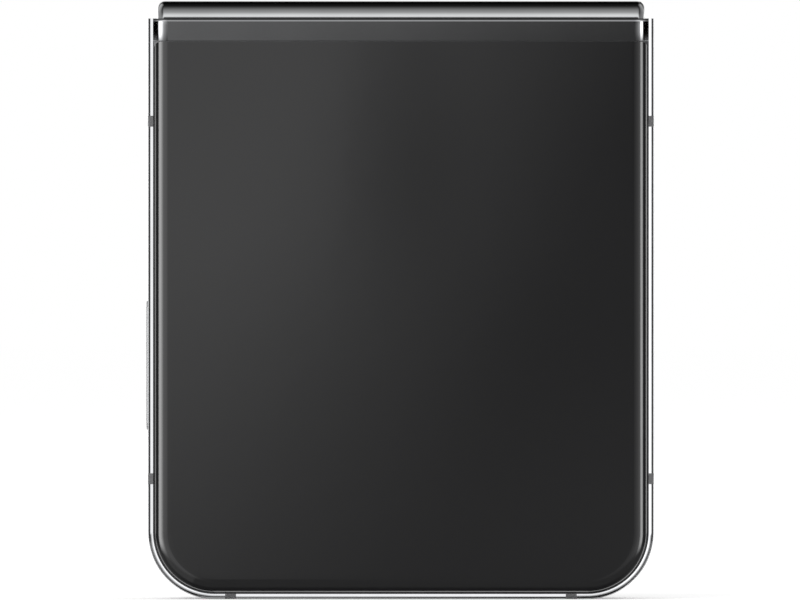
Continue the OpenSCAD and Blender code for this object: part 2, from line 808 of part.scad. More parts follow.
module post_clearance() both_sides() disc(post_x, post_z, post_r + 0.2, 0, half_t);

module carrier() {
    difference() {
        slab(rail_wall + 0.2, carrier_top_z, carrier_low_t, carrier_top_t);
        both_sides() disc(post_x, post_z, head_r + fit, carrier_top_t - 0.3, half_t);
        both_sides() disc(post_x, post_z, screw_r + fit, carrier_low_t - 1, half_t);
    }
}

module lower_carrier() color("#26282a") at_lower() carrier();

module upper_carrier() color("#26282a") at_upper() difference() {
    carrier();
    for (x = camera_xs) disc(x, camera_z, ring_barrel_r, 1, half_t);
    disc(flash_x, camera_z, flash_r, 1, half_t);
}

module battery(low_z)
    block(-side_x + battery_side, low_z, side_x - battery_side, battery_top_z, bay_t, bay_t + battery_t, 1.5);

module lower_battery() color("#3b3d40") at_lower() battery(lower_battery_z);

module upper_battery() color("#3b3d40") at_upper() battery(upper_battery_z);

module coil_shield() color("#4d4f52") at_lower()
    block(-coil_r - 2, coil_z - coil_r - 1, coil_r + 2, coil_z + coil_r + 1,
        bay_t + battery_t + 0.01, bay_t + battery_t + 0.15, 3);

// A flat winding of half turns whose centres step from side to side
module charging_coil() color("#b87333") at_lower() {
    first_r = coil_r - coil_turns * coil_pitch;
    through(bay_t + battery_t + 0.15, bay_t + battery_t + 0.45) translate([0, coil_z])
        for (i = [0:2 * coil_turns - 1]) {
            r = first_r + i * coil_pitch / 2;
            upward = i % 2 == 0;
            translate([upward ? 0 : coil_pitch / 2, 0]) intersection() {
                difference() {
                    circle(r + coil_wire / 2);
                    circle(r - coil_wire / 2);
                }
                translate([-far, upward ? 0 : -far]) square([2 * far, far]);
            }
        }
}

module sub_board() color("#1f4d3a") at_lower() difference() {
    block(-side_x + 4.1, board_low_z, hole_x - 2.1, board_low_z + sub_board_h, bay_t, board_top_t);
    block(-port_w / 2 - port_wall - 0.2, 0, port_w / 2 + port_wall + 0.2, port_len + 0.8, 0, half_t);
    post_clearance();
    corner_clearance();
}

// Keeps a board clear of the frame's round corners
module corner_clearance() difference() {
    through(0, half_t) translate([-far, -1]) square([2 * far, corner_r + 1]);
    slab(rail_wall + 0.3, far, -1, half_t + 1);
}

module charging_port() color("#9fa2a5") at_lower() translate([0, rail_mid, 0.35]) {
    difference() {
        linear_extrude(port_len) rotate(90) slot_2d(port_w + 2 * port_wall, port_h + 2 * port_wall);
        translate([0, 0, -1]) linear_extrude(port_len + 0.7) rotate(90) slot_2d(port_w, port_h);
    }
    translate([-3.35, -0.35, 0.8]) cube([6.7, 0.7, port_len - 0.9]);
}

module loudspeaker() color("#2b2d30") at_lower() {
    block(hole_x - 1.7, board_low_z, side_x - 7.15, 17, bay_t, carrier_low_t - fit, 1);
    block(hole_x - 1, rail_wall + 0.35, hole_x + hole_count * hole_pitch - 1, board_low_z + 1,
        rail_mid - 1, rail_mid + 1, 0.2);
}

module speaker_mesh() color("#17181a") at_lower()
    block(hole_x - 1, rail_wall + 0.02, hole_x + hole_count * hole_pitch - 1, rail_wall + 0.33,
        rail_mid - 1, rail_mid + 1, 0.1);

module microphone() color("#b9bcbf") at_lower()
    block(mic_x - 1.8, board_low_z + 0.2, mic_x + 1.8, board_low_z + 2.8, board_top_t, board_top_t + 1, 0.3);

module vibration_motor() color("#a5a8ab") at_lower()
    block(-side_x + 7.45, board_low_z + 3, -side_x + 19.95, board_low_z + 9,
        board_top_t, carrier_low_t - fit, 2.5);

module magnets() both_sides()
    block(magnet_x - magnet_l / 2, rail_wall + 0.4, magnet_x + magnet_l / 2, rail_wall + 2.4,
        bay_t, bay_t + 1.2, 0.3);

module lower_magnets() color("#8f8f95") at_lower() magnets();

module upper_magnets() color("#8f8f95") at_upper() magnets();

module main_board() color("#1f4d3a") at_upper() difference() {
    block(-side_x + 4.1, board_low_z, side_x - 3, board_low_z + main_board_h, bay_t, board_top_t);
    for (x = camera_xs) block(x - camera_w / 2 - 0.2, camera_z - camera_w / 2 - 0.2, x + camera_w / 2 + 0.2,
        camera_z + camera_w / 2 + 0.2, 0, half_t);
    block(-front_camera_w / 2 - 0.2, 0, front_camera_w / 2 + 0.2, front_camera_z + front_camera_w / 2 + 0.2,
        0, half_t);
    block(3.5, 0, 16.5, 6.5, 0, half_t);
    post_clearance();
    corner_clearance();
}

// A pressed can over the chips
module shield(x0, z0, x1, z1) {
    difference() {
        block(x0, z0, x1, z1, board_top_t, board_top_t + 1.8, 0.6);
        block(x0 + 0.2, z0 + 0.2, x1 - 0.2, z1 - 0.2, board_top_t - 1, board_top_t + 1.6, 0.5);
    }
}

module board_shields() color("#b9bcbf") at_upper() {
    shield(-side_x + 5.95, carrier_top_z - 1, reader_low_x - 2.25, board_low_z + main_board_h - 1);
    shield(11.5, 7.5, side_x - 7.45, 16.5);
}

module rear_cameras() color("#1c1d20") at_upper() for (x = camera_xs) {
    block(x - camera_w / 2, camera_z - camera_w / 2, x + camera_w / 2, camera_z + camera_w / 2,
        bay_t, carrier_low_t - fit, 0.6);
    difference() {
        disc(x, camera_z, camera_w / 2 - 1, carrier_low_t - 1, half_t - 0.1);
        disc(x, camera_z, 2.2, half_t - 1, half_t);
    }
}

module camera_rings() color("#6f7376") at_upper() for (x = camera_xs) difference() {
    union() {
        disc(x, camera_z, ring_r, half_t, half_t + ring_rise);
        disc(x, camera_z, ring_barrel_r, half_t - glass_t, half_t + 0.1);
    }
    disc(x, camera_z, ring_in_r - 0.5, 0, half_t + ring_rise + 1);
    disc(x, camera_z, ring_in_r, half_t + 0.1, half_t + ring_rise + 1);
}

module camera_windows() color("#0c0d10") at_upper() for (x = camera_xs)
    disc(x, camera_z, ring_in_r - 0.01, half_t + 0.1, half_t + 0.1 + 0.5);

module flash_lens() color("#e9e4cf") at_upper() disc(flash_x, camera_z, flash_r, half_t - 0.6, half_t);

module flash_light() color("#e8d890") at_upper()
    block(flash_x - 1.2, camera_z - 1.2, flash_x + 1.2, camera_z + 1.2, board_top_t, board_top_t + 1, 0.2);

module front_camera() color("#1c1d20") at_upper() {
    disc(0, front_camera_z, front_lens_r - 0.1, 0.1, bay_t + 0.1);
    block(-front_camera_w / 2, front_camera_z - front_camera_w / 2, front_camera_w / 2,
        front_camera_z + front_camera_w / 2, bay_t, bay_t + 2.6, 0.4);
}

module earpiece() color("#2b2d30") at_upper() block(4, rail_wall + 0.5, 16, 6, bay_t, bay_t + 2.4, 0.8);

lower_frame();
lower_antenna_breaks();
back_glass();
back_glass_seal();
lower_carrier();
lower_battery();
coil_shield();
charging_coil();
sub_board();
charging_port();
loudspeaker();
speaker_mesh();
microphone();
vibration_motor();
lower_magnets();
lower_screen();
lower_bezel();
lower_leaf();
lower_hinge_arms();
lower_screws();
hinge_cover();
hinge_blocks();
gear_shafts();
friction_washers();
screen_bend();
lower_pinions();
upper_pinions();
upper_frame();
upper_antenna_breaks();
cover_glass();
cover_glass_seal();
cover_screen();
upper_carrier();
rear_cameras();
camera_rings();
camera_windows();
flash_lens();
flash_light();
upper_battery();
main_board();
board_shields();
card_reader();
card_tray();
front_camera();
earpiece();
upper_magnets();
upper_screen();
upper_bezel();
upper_leaf();
upper_hinge_arms();
upper_screws();
volume_key();
power_key();
key_switches();
key_bracket();
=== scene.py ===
"""Looks of a folding phone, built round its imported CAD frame.

X runs across the phone's width, Y through its thickness and Z up. The lower half, with the
plain back glass, faces -Y, and the upper half, with the cover screen, faces +Y. Forms are
modelled in millimetres. A form of a half has Y as the depth from the folded-in screen
outwards, and it is turned to its own side and into metres when it becomes a piece.
"""

from __future__ import annotations

import json
import logging
import math
from collections.abc import Callable, Iterable, Sequence
from dataclasses import dataclass, field
from enum import Enum
from typing import ClassVar

import bmesh
import bpy
from bmesh.types import BMEdge, BMesh, BMVert
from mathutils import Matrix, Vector

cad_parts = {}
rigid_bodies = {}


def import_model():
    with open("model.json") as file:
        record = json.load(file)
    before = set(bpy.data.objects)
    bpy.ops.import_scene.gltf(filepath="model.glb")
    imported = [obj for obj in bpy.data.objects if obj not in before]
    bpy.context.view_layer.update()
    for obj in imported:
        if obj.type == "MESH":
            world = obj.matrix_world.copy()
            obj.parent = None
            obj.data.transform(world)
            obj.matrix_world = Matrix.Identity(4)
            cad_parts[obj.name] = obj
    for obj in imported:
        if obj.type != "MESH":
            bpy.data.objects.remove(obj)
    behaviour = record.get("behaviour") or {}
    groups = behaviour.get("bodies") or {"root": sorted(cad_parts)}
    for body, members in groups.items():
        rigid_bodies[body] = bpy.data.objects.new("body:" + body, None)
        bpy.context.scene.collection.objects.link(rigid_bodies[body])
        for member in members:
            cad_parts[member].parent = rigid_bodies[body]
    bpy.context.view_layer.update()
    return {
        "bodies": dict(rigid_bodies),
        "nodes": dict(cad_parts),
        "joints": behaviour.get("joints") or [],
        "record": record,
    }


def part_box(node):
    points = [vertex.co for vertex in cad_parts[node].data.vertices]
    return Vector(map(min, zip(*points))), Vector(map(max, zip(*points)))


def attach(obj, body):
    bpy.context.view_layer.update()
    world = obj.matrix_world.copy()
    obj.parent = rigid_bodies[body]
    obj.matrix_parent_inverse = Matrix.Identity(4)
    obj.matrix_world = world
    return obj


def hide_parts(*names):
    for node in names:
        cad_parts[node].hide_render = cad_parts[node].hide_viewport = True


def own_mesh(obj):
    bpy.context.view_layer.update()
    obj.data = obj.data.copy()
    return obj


LOG = logging.getLogger("folding_phone")
MM = 0.001
# Edges that turn by more than this stay sharp. The band's crowned chamfer turns by 30 degrees.
SHARP_ANGLE = math.radians(27.5)
# How far a form that cuts a hole reaches in from the rail's face, and how far out.
HOLE_REACH = 3.0
MOUTH_REACH = 0.4
Point = tuple[float, float]


class Side(Enum):
    """The two halves of the phone, by the way that each one faces."""

    LOWER = -1
    UPPER = 1

    @property
    def body(self) -> str:
        """Name of the CAD body that this half is."""
        return "lower_half" if self is Side.LOWER else "upper_half"

    @property
    def word(self) -> str:
        """Word that starts the names of this half's pieces."""
        return "lower" if self is Side.LOWER else "upper"


class Work(Enum):
    """What a Boolean does with its second form."""

    CUT = "DIFFERENCE"
    JOIN = "UNION"
    KEEP = "INTERSECT"


# ---- Drawings: lists of points in millimetres ----


def arc(centre: Point, radius: float, start: float, end: float, steps: int) -> list[Point]:
    """Points along an arc, both ends included.

    Args:
        centre: Middle of the arc's circle.
        radius: Radius of the circle.
        start: First direction, in degrees.
        end: Last direction, in degrees.
        steps: Number of straight pieces.

    Returns:
        The points in order.
    """
    turns = [math.radians(start + (end - start) * i / steps) for i in range(steps + 1)]
    return [(centre[0] + radius * math.cos(a), centre[1] + radius * math.sin(a)) for a in turns]


def stadium(length: float, width: float, steps: int = 12) -> list[Point]:
    """Outline of a slot with round ends, long in its first direction and centred.

    Args:
        length: Length over the round ends.
        width: Width across.
        steps: Straight pieces in each round end.

    Returns:
        The outline's points.
    """
    reach, radius = (length - width) / 2, width / 2
    return arc((reach, 0), radius, -90, 90, steps) + arc((-reach, 0), radius, 90, 270, steps)


def rounded_box(low: Point, high: Point, radius: float, steps: int = 6) -> list[Point]:
    """Outline of a box with round corners.

    Args:
        low: Lowest corner.
        high: Highest corner.
        radius: Radius of the corners.
        steps: Straight pieces in each corner.

    Returns:
        The outline's points.
    """
    corners = (
        (high[0], low[1], -90),
        (high[0], high[1], 0),
        (low[0], high[1], 90),
        (low[0], low[1], 180),
    )
    points: list[Point] = []
    for x, y, first in corners:
        inward_x = -radius if x == high[0] else radius
        inward_y = radius if y == low[1] else -radius
        points += arc((x + inward_x, y + inward_y), radius, first, first + 90, steps)
    return points


@dataclass(frozen=True)
class PhoneSizes:
    """Sizes of the phone in millimetres. The outer ones come from the CAD frame's boxes."""

    side_x: float
    gap: float
    half_t: float
    frame_top: float
    glass_x: float
    glass_back: float
    glass_top: float
    screen_x: float
    screen_top: float
    spine_x: float
    spine_top: float
    tray_z: float
    volume_x: float
    volume_z: float
    power_z: float
    camera_xs: tuple[float, float]
    camera_z: float
    flash_x: float
    cover_window: tuple[Point, Point]
    corner_r: float = 9.5
    crown_w: float = 2.0
    crown_drop: float = 0.4
    band_h: float = 3.25
    rail_wall: float = 2.0
    hinge_wall: float = 1.14
    axis_t: float = 1.25
    spine_r: float = 4.45
    spine_wall: float = 0.6
    screen_t: float = 0.5
    break_w: float = 1.56
    break_depth: float = 1.2
    break_low_z: float = 17.1
    break_high_z: float = 67.9
    break_x: float = 24.2

    @property
    def rail_top(self) -> float:
        """Depth of the rail's lip beside the glass."""
        return self.half_t - self.crown_drop

    @property
    def rail_mid(self) -> float:
        """Depth of the middle of the rail."""
        return self.rail_top / 2

    @property
    def glass_inset(self) -> float:
        """Distance from the rail's side to the glass."""
        return self.side_x - self.glass_x

    @property
    def ledge(self) -> float:
        """Depth of the ledge that the glass is glued to."""
        return self.glass_back - 0.15

    @property
    def axis_y(self) -> float:
        """Distance of each fold axis from the middle plane."""
        return self.gap / 2 + self.axis_t

    @property
    def axis_z(self) -> float:
        """Height of the fold axes."""
        return self.spine_top - self.spine_r

    @property
    def cavity_x(self) -> float:
        """Half the width of the room that the spine turns in."""
        return self.side_x - self.hinge_wall

    @classmethod
    def from_frame(cls) -> PhoneSizes:
        """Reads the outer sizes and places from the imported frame.

        Returns:
            The phone's sizes.
        """

        def corners(node: str) -> tuple[Vector, Vector]:
            """Returns a CAD node's lowest and highest corners, in millimetres."""
            low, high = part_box(node)
            return low / MM, high / MM

        rail_low, rail_high = corners("lower_frame")
        glass_high = corners("back_glass")[1]
        screen_high = corners("lower_screen")[1]
        spine_high = corners("hinge_cover")[1]
        tray_low, tray_high = corners("card_tray")
        volume_low, volume_high = corners("volume_key")
        power_low, power_high = corners("power_key")
        ring_low, ring_high = corners("camera_rings")
        flash_low, flash_high = corners("flash_lens")
        cover_low, cover_high = corners("cover_screen")
        ring_r = (ring_high.z - ring_low.z) / 2
        gap = -2 * rail_high.y
        return cls(
            side_x=rail_high.x,
            gap=gap,
            half_t=-rail_low.y - gap / 2,
            frame_top=rail_high.z,
            glass_x=glass_high.x,
            glass_back=-glass_high.y - gap / 2,
            glass_top=glass_high.z,
            screen_x=screen_high.x,
            screen_top=screen_high.z,
            spine_x=spine_high.x,
            spine_top=spine_high.z,
            tray_z=(tray_low.z + tray_high.z) / 2,
            volume_x=volume_low.x,
            volume_z=(volume_low.z + volume_high.z) / 2,
            power_z=(power_low.z + power_high.z) / 2,
            camera_xs=(ring_low.x + ring_r, ring_high.x - ring_r),
            camera_z=(ring_low.z + ring_high.z) / 2,
            flash_x=(flash_low.x + flash_high.x) / 2,
            cover_window=((cover_low.x, cover_low.z), (cover_high.x, cover_high.z)),
        )

    def crown(self, reach: float) -> float:
        """Depth of the curved edge at a distance inward from where it starts.

        Args:
            reach: Distance inward from the glass's edge.

        Returns:
            The depth there.
        """
        if reach >= self.crown_w:
            return self.half_t
        radius = (self.crown_w**2 + self.crown_drop**2) / (2 * self.crown_drop)
        return self.half_t - radius + math.sqrt(radius**2 - (self.crown_w - reach) ** 2)


# ---- Forms ----


class Form:
    """A closed mesh in millimetres that bmesh operators shape.

    half_gap is half the gap between the closed halves, which a form of a half starts from.
    """

    half_gap: ClassVar[float] = 0.65

    def __init__(self) -> None:
        """Starts with an empty mesh."""
        self.bm: BMesh = bmesh.new()

    @classmethod
    def drawn(cls, points: Iterable[Vector], along: Vector) -> Form:
        """Draws a flat outline out along a straight line.

        Args:
            points: The outline's corners in order.
            along: How far the outline is drawn.

        Returns:
            The closed form.
        """
        form = cls()
        verts = [form.bm.verts.new(p) for p in points]
        face = form.bm.faces.new(verts)
        made = bmesh.ops.extrude_face_region(form.bm, geom=[face])
        far = [g for g in made["geom"] if isinstance(g, BMVert)]
        bmesh.ops.translate(form.bm, verts=far, vec=along)
        return form.facing_out()

    @classmethod
    def along_x(cls, outline: Iterable[Point], x0: float, x1: float) -> Form:
        """Draws an outline of depth and height out along X, from x0 to x1."""
        return cls.drawn([Vector((x0, t, z)) for t, z in outline], Vector((x1 - x0, 0, 0)))

    @classmethod
    def through(cls, outline: Iterable[Point], t0: float, t1: float) -> Form:
        """Draws an outline of width and height out through the depths from t0 to t1."""
        return cls.drawn([Vector((x, t0, z)) for x, z in outline], Vector((0, t1 - t0, 0)))

    @classmethod
    def upward(cls, outline: Iterable[Point], z0: float, z1: float) -> Form:
        """Draws an outline of width and depth upward, from z0 to z1."""
        return cls.drawn([Vector((x, t, z0)) for x, t in outline], Vector((0, 0, z1 - z0)))

    @classmethod
    def box(cls, low: Sequence[float], high: Sequence[float]) -> Form:
        """Makes a plain box between two corners."""
        form = cls()
        made = bmesh.ops.create_cube(form.bm, size=1)
        spread = [h - a for a, h in zip(low, high)]
        middle = [(h + a) / 2 for a, h in zip(low, high)]
        bmesh.ops.scale(form.bm, verts=made["verts"], vec=spread)
        bmesh.ops.translate(form.bm, verts=made["verts"], vec=middle)
        return form

    @classmethod
    def turned(cls, outline: Sequence[Point], x: float, z: float, steps: int = 64) -> Form:
        """Spins an outline of radius and depth round an axis that runs through the phone.

        Args:
            outline: Points of radius and depth. An end at radius 0 closes there.
            x: Place of the axis across the width.
            z: Height of the axis.
            steps: Number of steps in the full turn.

        Returns:
            The closed form.
        """
        form = cls()
        verts = [form.bm.verts.new((x + r, t, z)) for r, t in outline]
        edges = [form.bm.edges.new(pair) for pair in zip(verts, verts[1:])]
        if outline[0][0] > 0:
            edges.append(form.bm.edges.new((verts[-1], verts[0])))
        bmesh.ops.spin(
            form.bm,
            geom=verts + edges,
            cent=(x, 0, z),
            axis=(0, 1, 0),
            angle=math.tau,
            steps=steps,
            use_merge=True,
        )
        bmesh.ops.remove_doubles(form.bm, verts=form.bm.verts, dist=0.0005)
        return form.facing_out()

    @classmethod
    def swept(
        cls, outline: Sequence[Point], sizes: PhoneSizes, top: float, steps: int = 28
    ) -> Form:
        """Sweeps an outline down one side of a half, round the bottom and up the other side.

        Args:
            outline: Points of distance in from the rail's side and depth, closed.
            sizes: The phone's sizes.
            top: Height that the sweep starts and ends at.
            steps: Number of steps in each round corner.

        Returns:
            The closed form.
        """
        form = cls()
        start = form._sweep_walls(outline, sizes, top, steps, closed=True)
        form.bm.faces.new(start)
        return form.capped().facing_out()

    @classmethod
    def plate(
        cls, outline: Sequence[Point], sizes: PhoneSizes, top: float, steps: int = 28
    ) -> Form:
        """Sweeps an edge's outline round a half and fills the front and back between its ends.

        Args:
            outline: Points of distance in from the rail's side and depth, from the front's
                inner end over the edge to the back's inner end.
            sizes: The phone's sizes.
            top: Height of the plate's straight top edge.
            steps: Number of steps in each round corner.

        Returns:
            The closed form.
        """
        form = cls()
        form._sweep_walls(outline, sizes, top, steps, closed=False)
        near = 1e-4
        for inset, depth in (outline[0], outline[-1]):
            ring = [
                v
                for v in form.bm.verts
                if abs(v.co.y - depth) < near and form._on_inset(v, sizes, inset)
            ]
            bridge = form.bm.edges.new([v for v in ring if abs(v.co.z - top) < near])
            edges = [e for e in form.bm.edges if e.is_boundary and all(v in ring for v in e.verts)]
            bmesh.ops.contextual_create(form.bm, geom=[*edges, bridge])
        return form.capped().facing_out()

    @classmethod
    def lofted(cls, rings: Iterable[Iterable[Sequence[float]]]) -> Form:
        """Joins closed outlines one after another, and closes both ends.

        Args:
            rings: The outlines' corners. Every outline has as many as the first.

        Returns:
            The closed form.
        """
        form = cls()
        edges: list[BMEdge] = []
        for index, ring in enumerate(rings):
            verts = [form.bm.verts.new(p) for p in ring]
            loop = [form.bm.edges.new((verts[i - 1], verts[i])) for i in range(len(verts))]
            if index:
                bmesh.ops.bridge_loops(form.bm, edges=edges + loop)
            edges = loop
        return form.capped().facing_out()

    @staticmethod
    def _on_inset(vert: BMVert, sizes: PhoneSizes, inset: float) -> bool:
        """Whether a corner lies on the outline at a distance in from the rail's side."""
        bend_x, bend_z = sizes.side_x - sizes.corner_r, sizes.corner_r
        x, z = abs(vert.co.x), vert.co.z
        if z >= bend_z:
            reach = sizes.side_x - x
        elif x <= bend_x:
            reach = z
        else:
            reach = sizes.corner_r - math.hypot(x - bend_x, z - bend_z)
        return abs(reach - inset) < 1e-3

    def _sweep_walls(
        self, outline: Sequence[Point], sizes: PhoneSizes, top: float, steps: int, closed: bool
    ) -> list[BMVert]:
        """Sweeps the walls of swept() and plate(), and returns the first section's corners."""
        start = [self.bm.verts.new((-sizes.side_x + d, t, top)) for d, t in outline]
        edges = [self.bm.edges.new(pair) for pair in zip(start, start[1:])]
        if closed:
            edges.append(self.bm.edges.new((start[-1], start[0])))
        bend_x = sizes.side_x - sizes.corner_r
        edges = self._pull(edges, Vector((0, 0, sizes.corner_r - top)))
        edges = self._bend(edges, -bend_x, sizes.corner_r, steps)
        edges = self._pull(edges, Vector((2 * bend_x, 0, 0)))
        edges = self._bend(edges, bend_x, sizes.corner_r, steps)
        self._pull(edges, Vector((0, 0, top - sizes.corner_r)))
        return start

    def _pull(self, edges: list[BMEdge], along: Vector) -> list[BMEdge]:
        """Draws edges out into faces along a line, and returns the edges at the far end."""
        made = bmesh.ops.extrude_edge_only(self.bm, edges=edges)
        verts = {g for g in made["geom"] if isinstance(g, BMVert)}
        bmesh.ops.translate(self.bm, verts=list(verts), vec=along)
        return [g for g in made["geom"] if isinstance(g, BMEdge) and verts.issuperset(g.verts)]

    def _bend(self, edges: list[BMEdge], x: float, z: float, steps: int) -> list[BMEdge]:
        """Spins edges a quarter turn round a bottom corner's axis, and returns the last edges."""
        verts = list(dict.fromkeys(v for e in edges for v in e.verts))
        made = bmesh.ops.spin(
            self.bm,
            geom=verts + edges,
            cent=(x, 0, z),
            axis=(0, 1, 0),
            angle=-math.pi / 2,
            steps=steps,
        )
        return [g for g in made["geom_last"] if isinstance(g, BMEdge)]

    def capped(self) -> Form:
        """Fills every open end with a face."""
        bmesh.ops.holes_fill(self.bm, edges=[e for e in self.bm.edges if e.is_boundary])
        return self

    def facing_out(self) -> Form:
        """Merges doubled corners and turns every face outwards."""
        bmesh.ops.remove_doubles(self.bm, verts=self.bm.verts, dist=0.0002)
        bmesh.ops.recalc_face_normals(self.bm, faces=self.bm.faces)
        return self

    def copy(self) -> Form:
        """Returns a separate form of the same shape."""
        other = Form()
        other.bm = self.bm.copy()
        return other

    def mirrored_x(self) -> Form:
        """Returns a copy on the other side of the phone's middle."""
        other = self.copy()
        bmesh.ops.scale(other.bm, verts=other.bm.verts, vec=(-1, 1, 1))
        bmesh.ops.reverse_faces(other.bm, faces=other.bm.faces)
        return other

    def with_loose(self, *others: Form) -> Form:
        """Adds other forms that don't touch this one, as they are."""
        for other in others:
            mesh = bpy.data.meshes.new("loose")
            other.bm.to_mesh(mesh)
            self.bm.from_mesh(mesh)
            bpy.data.meshes.remove(mesh)
        return self

    def worked(self, work: Work, *tools: Form) -> Form:
        """Cuts, joins or keeps what other forms share with this one.

        Args:
            work: What is done with each of the other forms.
            tools: The other forms, which are used up.

        Returns:
            This form.
        """
        for tool in tools:
            base, knife = (_plain_object(f.bm) for f in (self, tool))
            step = base.modifiers.new("step", "BOOLEAN")
            step.operation = work.value
            step.solver = "MANIFOLD"
            step.object = knife
            graph = bpy.context.evaluated_depsgraph_get()
            mesh = bpy.data.meshes.new_from_object(base.evaluated_get(graph))
            self.bm.free()
            self.bm = bmesh.new()
            self.bm.from_mesh(mesh)
            for used in (base, knife):
                old = used.data
                bpy.data.objects.remove(used)
                bpy.data.meshes.remove(old)
            bpy.data.meshes.remove(mesh)
        return self

    def cut(self, *tools: Form) -> Form:
        """Takes other forms out of this one."""
        return self.worked(Work.CUT, *tools)

    def joined(self, *tools: Form) -> Form:
        """Makes this form and others one."""
        return self.worked(Work.JOIN, *tools)

    def kept(self, *tools: Form) -> Form:
        """Keeps what this form shares with others."""
        return self.worked(Work.KEEP, *tools)

    def softened(
        self,
        width: float,
        steps: int = 3,
        where: Callable[[Vector], bool] = lambda middle: True,
        sharper_than: float = 35,
    ) -> Form:
        """Rounds the sharp edges.

        Args:
            width: How far the rounding reaches from each edge.
            steps: Number of steps in the rounding.
            where: Tells from an edge's middle whether it is rounded.
            sharper_than: Least angle of an edge that is rounded, in degrees.

        Returns:
            This form.
        """
        least = math.radians(sharper_than)
        edges = [
            e
            for e in self.bm.edges
            if e.calc_face_angle(0) > least and where((e.verts[0].co + e.verts[1].co) / 2)
        ]
        bmesh.ops.bevel(
            self.bm,
            geom=edges,
            offset=width,
            offset_type="OFFSET",
            segments=steps,
            profile=0.5,
            affect="EDGES",
            material=-1,
            clamp_overlap=True,
        )
        return self

    def piece(
        self, name: str, side: Side | None, body: str, slot: str, look: bpy.types.Material
    ) -> bpy.types.Object:
        """Turns the form into a piece of the phone, in metres.

        Args:
            name: The piece's name.
            side: The half whose depth the form is drawn in, or None for the phone's own axes.
            body: The CAD body that it moves with.
            slot: The record's material slot; not used.
            look: The piece's material.

        Returns:
            The piece's object.
        """
        if side is not None:
            bmesh.ops.translate(self.bm, verts=self.bm.verts, vec=(0, self.half_gap, 0))
        if side is Side.LOWER:
            bmesh.ops.scale(self.bm, verts=self.bm.verts, vec=(1, -1, 1))
            bmesh.ops.reverse_faces(self.bm, faces=self.bm.faces)
        bmesh.ops.scale(self.bm, verts=self.bm.verts, vec=(MM, MM, MM))
        for face in self.bm.faces:
            face.smooth = True
        for edge in self.bm.edges:
            edge.smooth = edge.calc_face_angle(0) < SHARP_ANGLE
        mesh = bpy.data.meshes.new(name)
        self.bm.to_mesh(mesh)
        self.bm.free()
        mesh.materials.append(look)
        made = bpy.data.objects.new(name, mesh)
        bpy.context.scene.collection.objects.link(made)
        even = made.modifiers.new("even_shading", "WEIGHTED_NORMAL")
        even.keep_sharp = True
        even.weight = 100
        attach(made, body)
        LOG.info("%s: %d faces on %s", name, len(mesh.polygons), body)
        return made


def _plain_object(bm: BMesh) -> bpy.types.Object:
    """Puts a copy of a mesh in the scene for one step of work."""
    mesh = bpy.data.meshes.new("work")
    bm.to_mesh(mesh)
    made = bpy.data.objects.new("work", mesh)
    bpy.context.scene.collection.objects.link(made)
    return made


# ---- Shader maths ----


class Graph:
    """A node tree that is written as expressions."""

    def __init__(self, tree: bpy.types.NodeTree) -> None:
        """Empties the tree."""
        self.tree = tree
        tree.nodes.clear()

    def node(
        self,
        kind: str,
        settings: dict[str, object] | None = None,
        inputs: dict[str | int, object] | None = None,
    ) -> bpy.types.Node:
        """Adds a node.

        Args:
            kind: The node's type.
            settings: What is set on the node before its sockets.
            inputs: Values or links of its sockets, by name or number.

        Returns:
            The node.
        """
        made = self.tree.nodes.new(kind)
        for key, value in (settings or {}).items():
            setattr(made, key, value)
        for key, value in (inputs or {}).items():
            if isinstance(value, Link):
                self.tree.links.new(value.socket, made.inputs[key])
            else:
                made.inputs[key].default_value = value
        return made

    def out(
        self,
        kind: str,
        output: str | int = 0,
        settings: dict | None = None,
        inputs: dict | None = None,
    ) -> Link:
        """Adds a node and returns one of its outputs."""
        return Link(self, self.node(kind, settings, inputs).outputs[output])

    def place(self) -> Link:
        """Returns the place on the object, in metres in the phone's axes."""
        return self.out("ShaderNodeTexCoord", "Object")

    def parts(self, vector: Link) -> tuple[Link, Link, Link]:
        """Splits a vector into its three numbers."""
        split = self.node("ShaderNodeSeparateXYZ", inputs={0: vector})
        return tuple(Link(self, split.outputs[i]) for i in range(3))

    def noise(
        self,
        grain: float,
        detail: float = 3,
        stretch: Sequence[float] = (1, 1, 1),
        rough: float = 0.5,
    ) -> Link:
        """Returns a cloudy pattern from 0 to 1.

        Args:
            grain: Size of its patches, in millimetres.
            detail: How many finer layers it has.
            stretch: How much shorter the patches are along each axis.
            rough: Weight of the finer layers.

        Returns:
            The pattern.
        """
        stretched = {"Vector": self.place(), "Scale": tuple(stretch)}
        inputs = {
            "Vector": self.out("ShaderNodeMapping", inputs=stretched),
            "Scale": 1 / (grain * MM),
            "Detail": detail,
            "Roughness": rough,
        }
        return self.out("ShaderNodeTexNoise", inputs=inputs)

    def blend(self, share: Link, first: object, second: object) -> Link:
        """Mixes two colours, from the first at 0 to the second at 1."""
        settings = {"data_type": "RGBA", "clamp_factor": True}
        return self.out("ShaderNodeMix", 2, settings, {0: share, 6: first, 7: second})


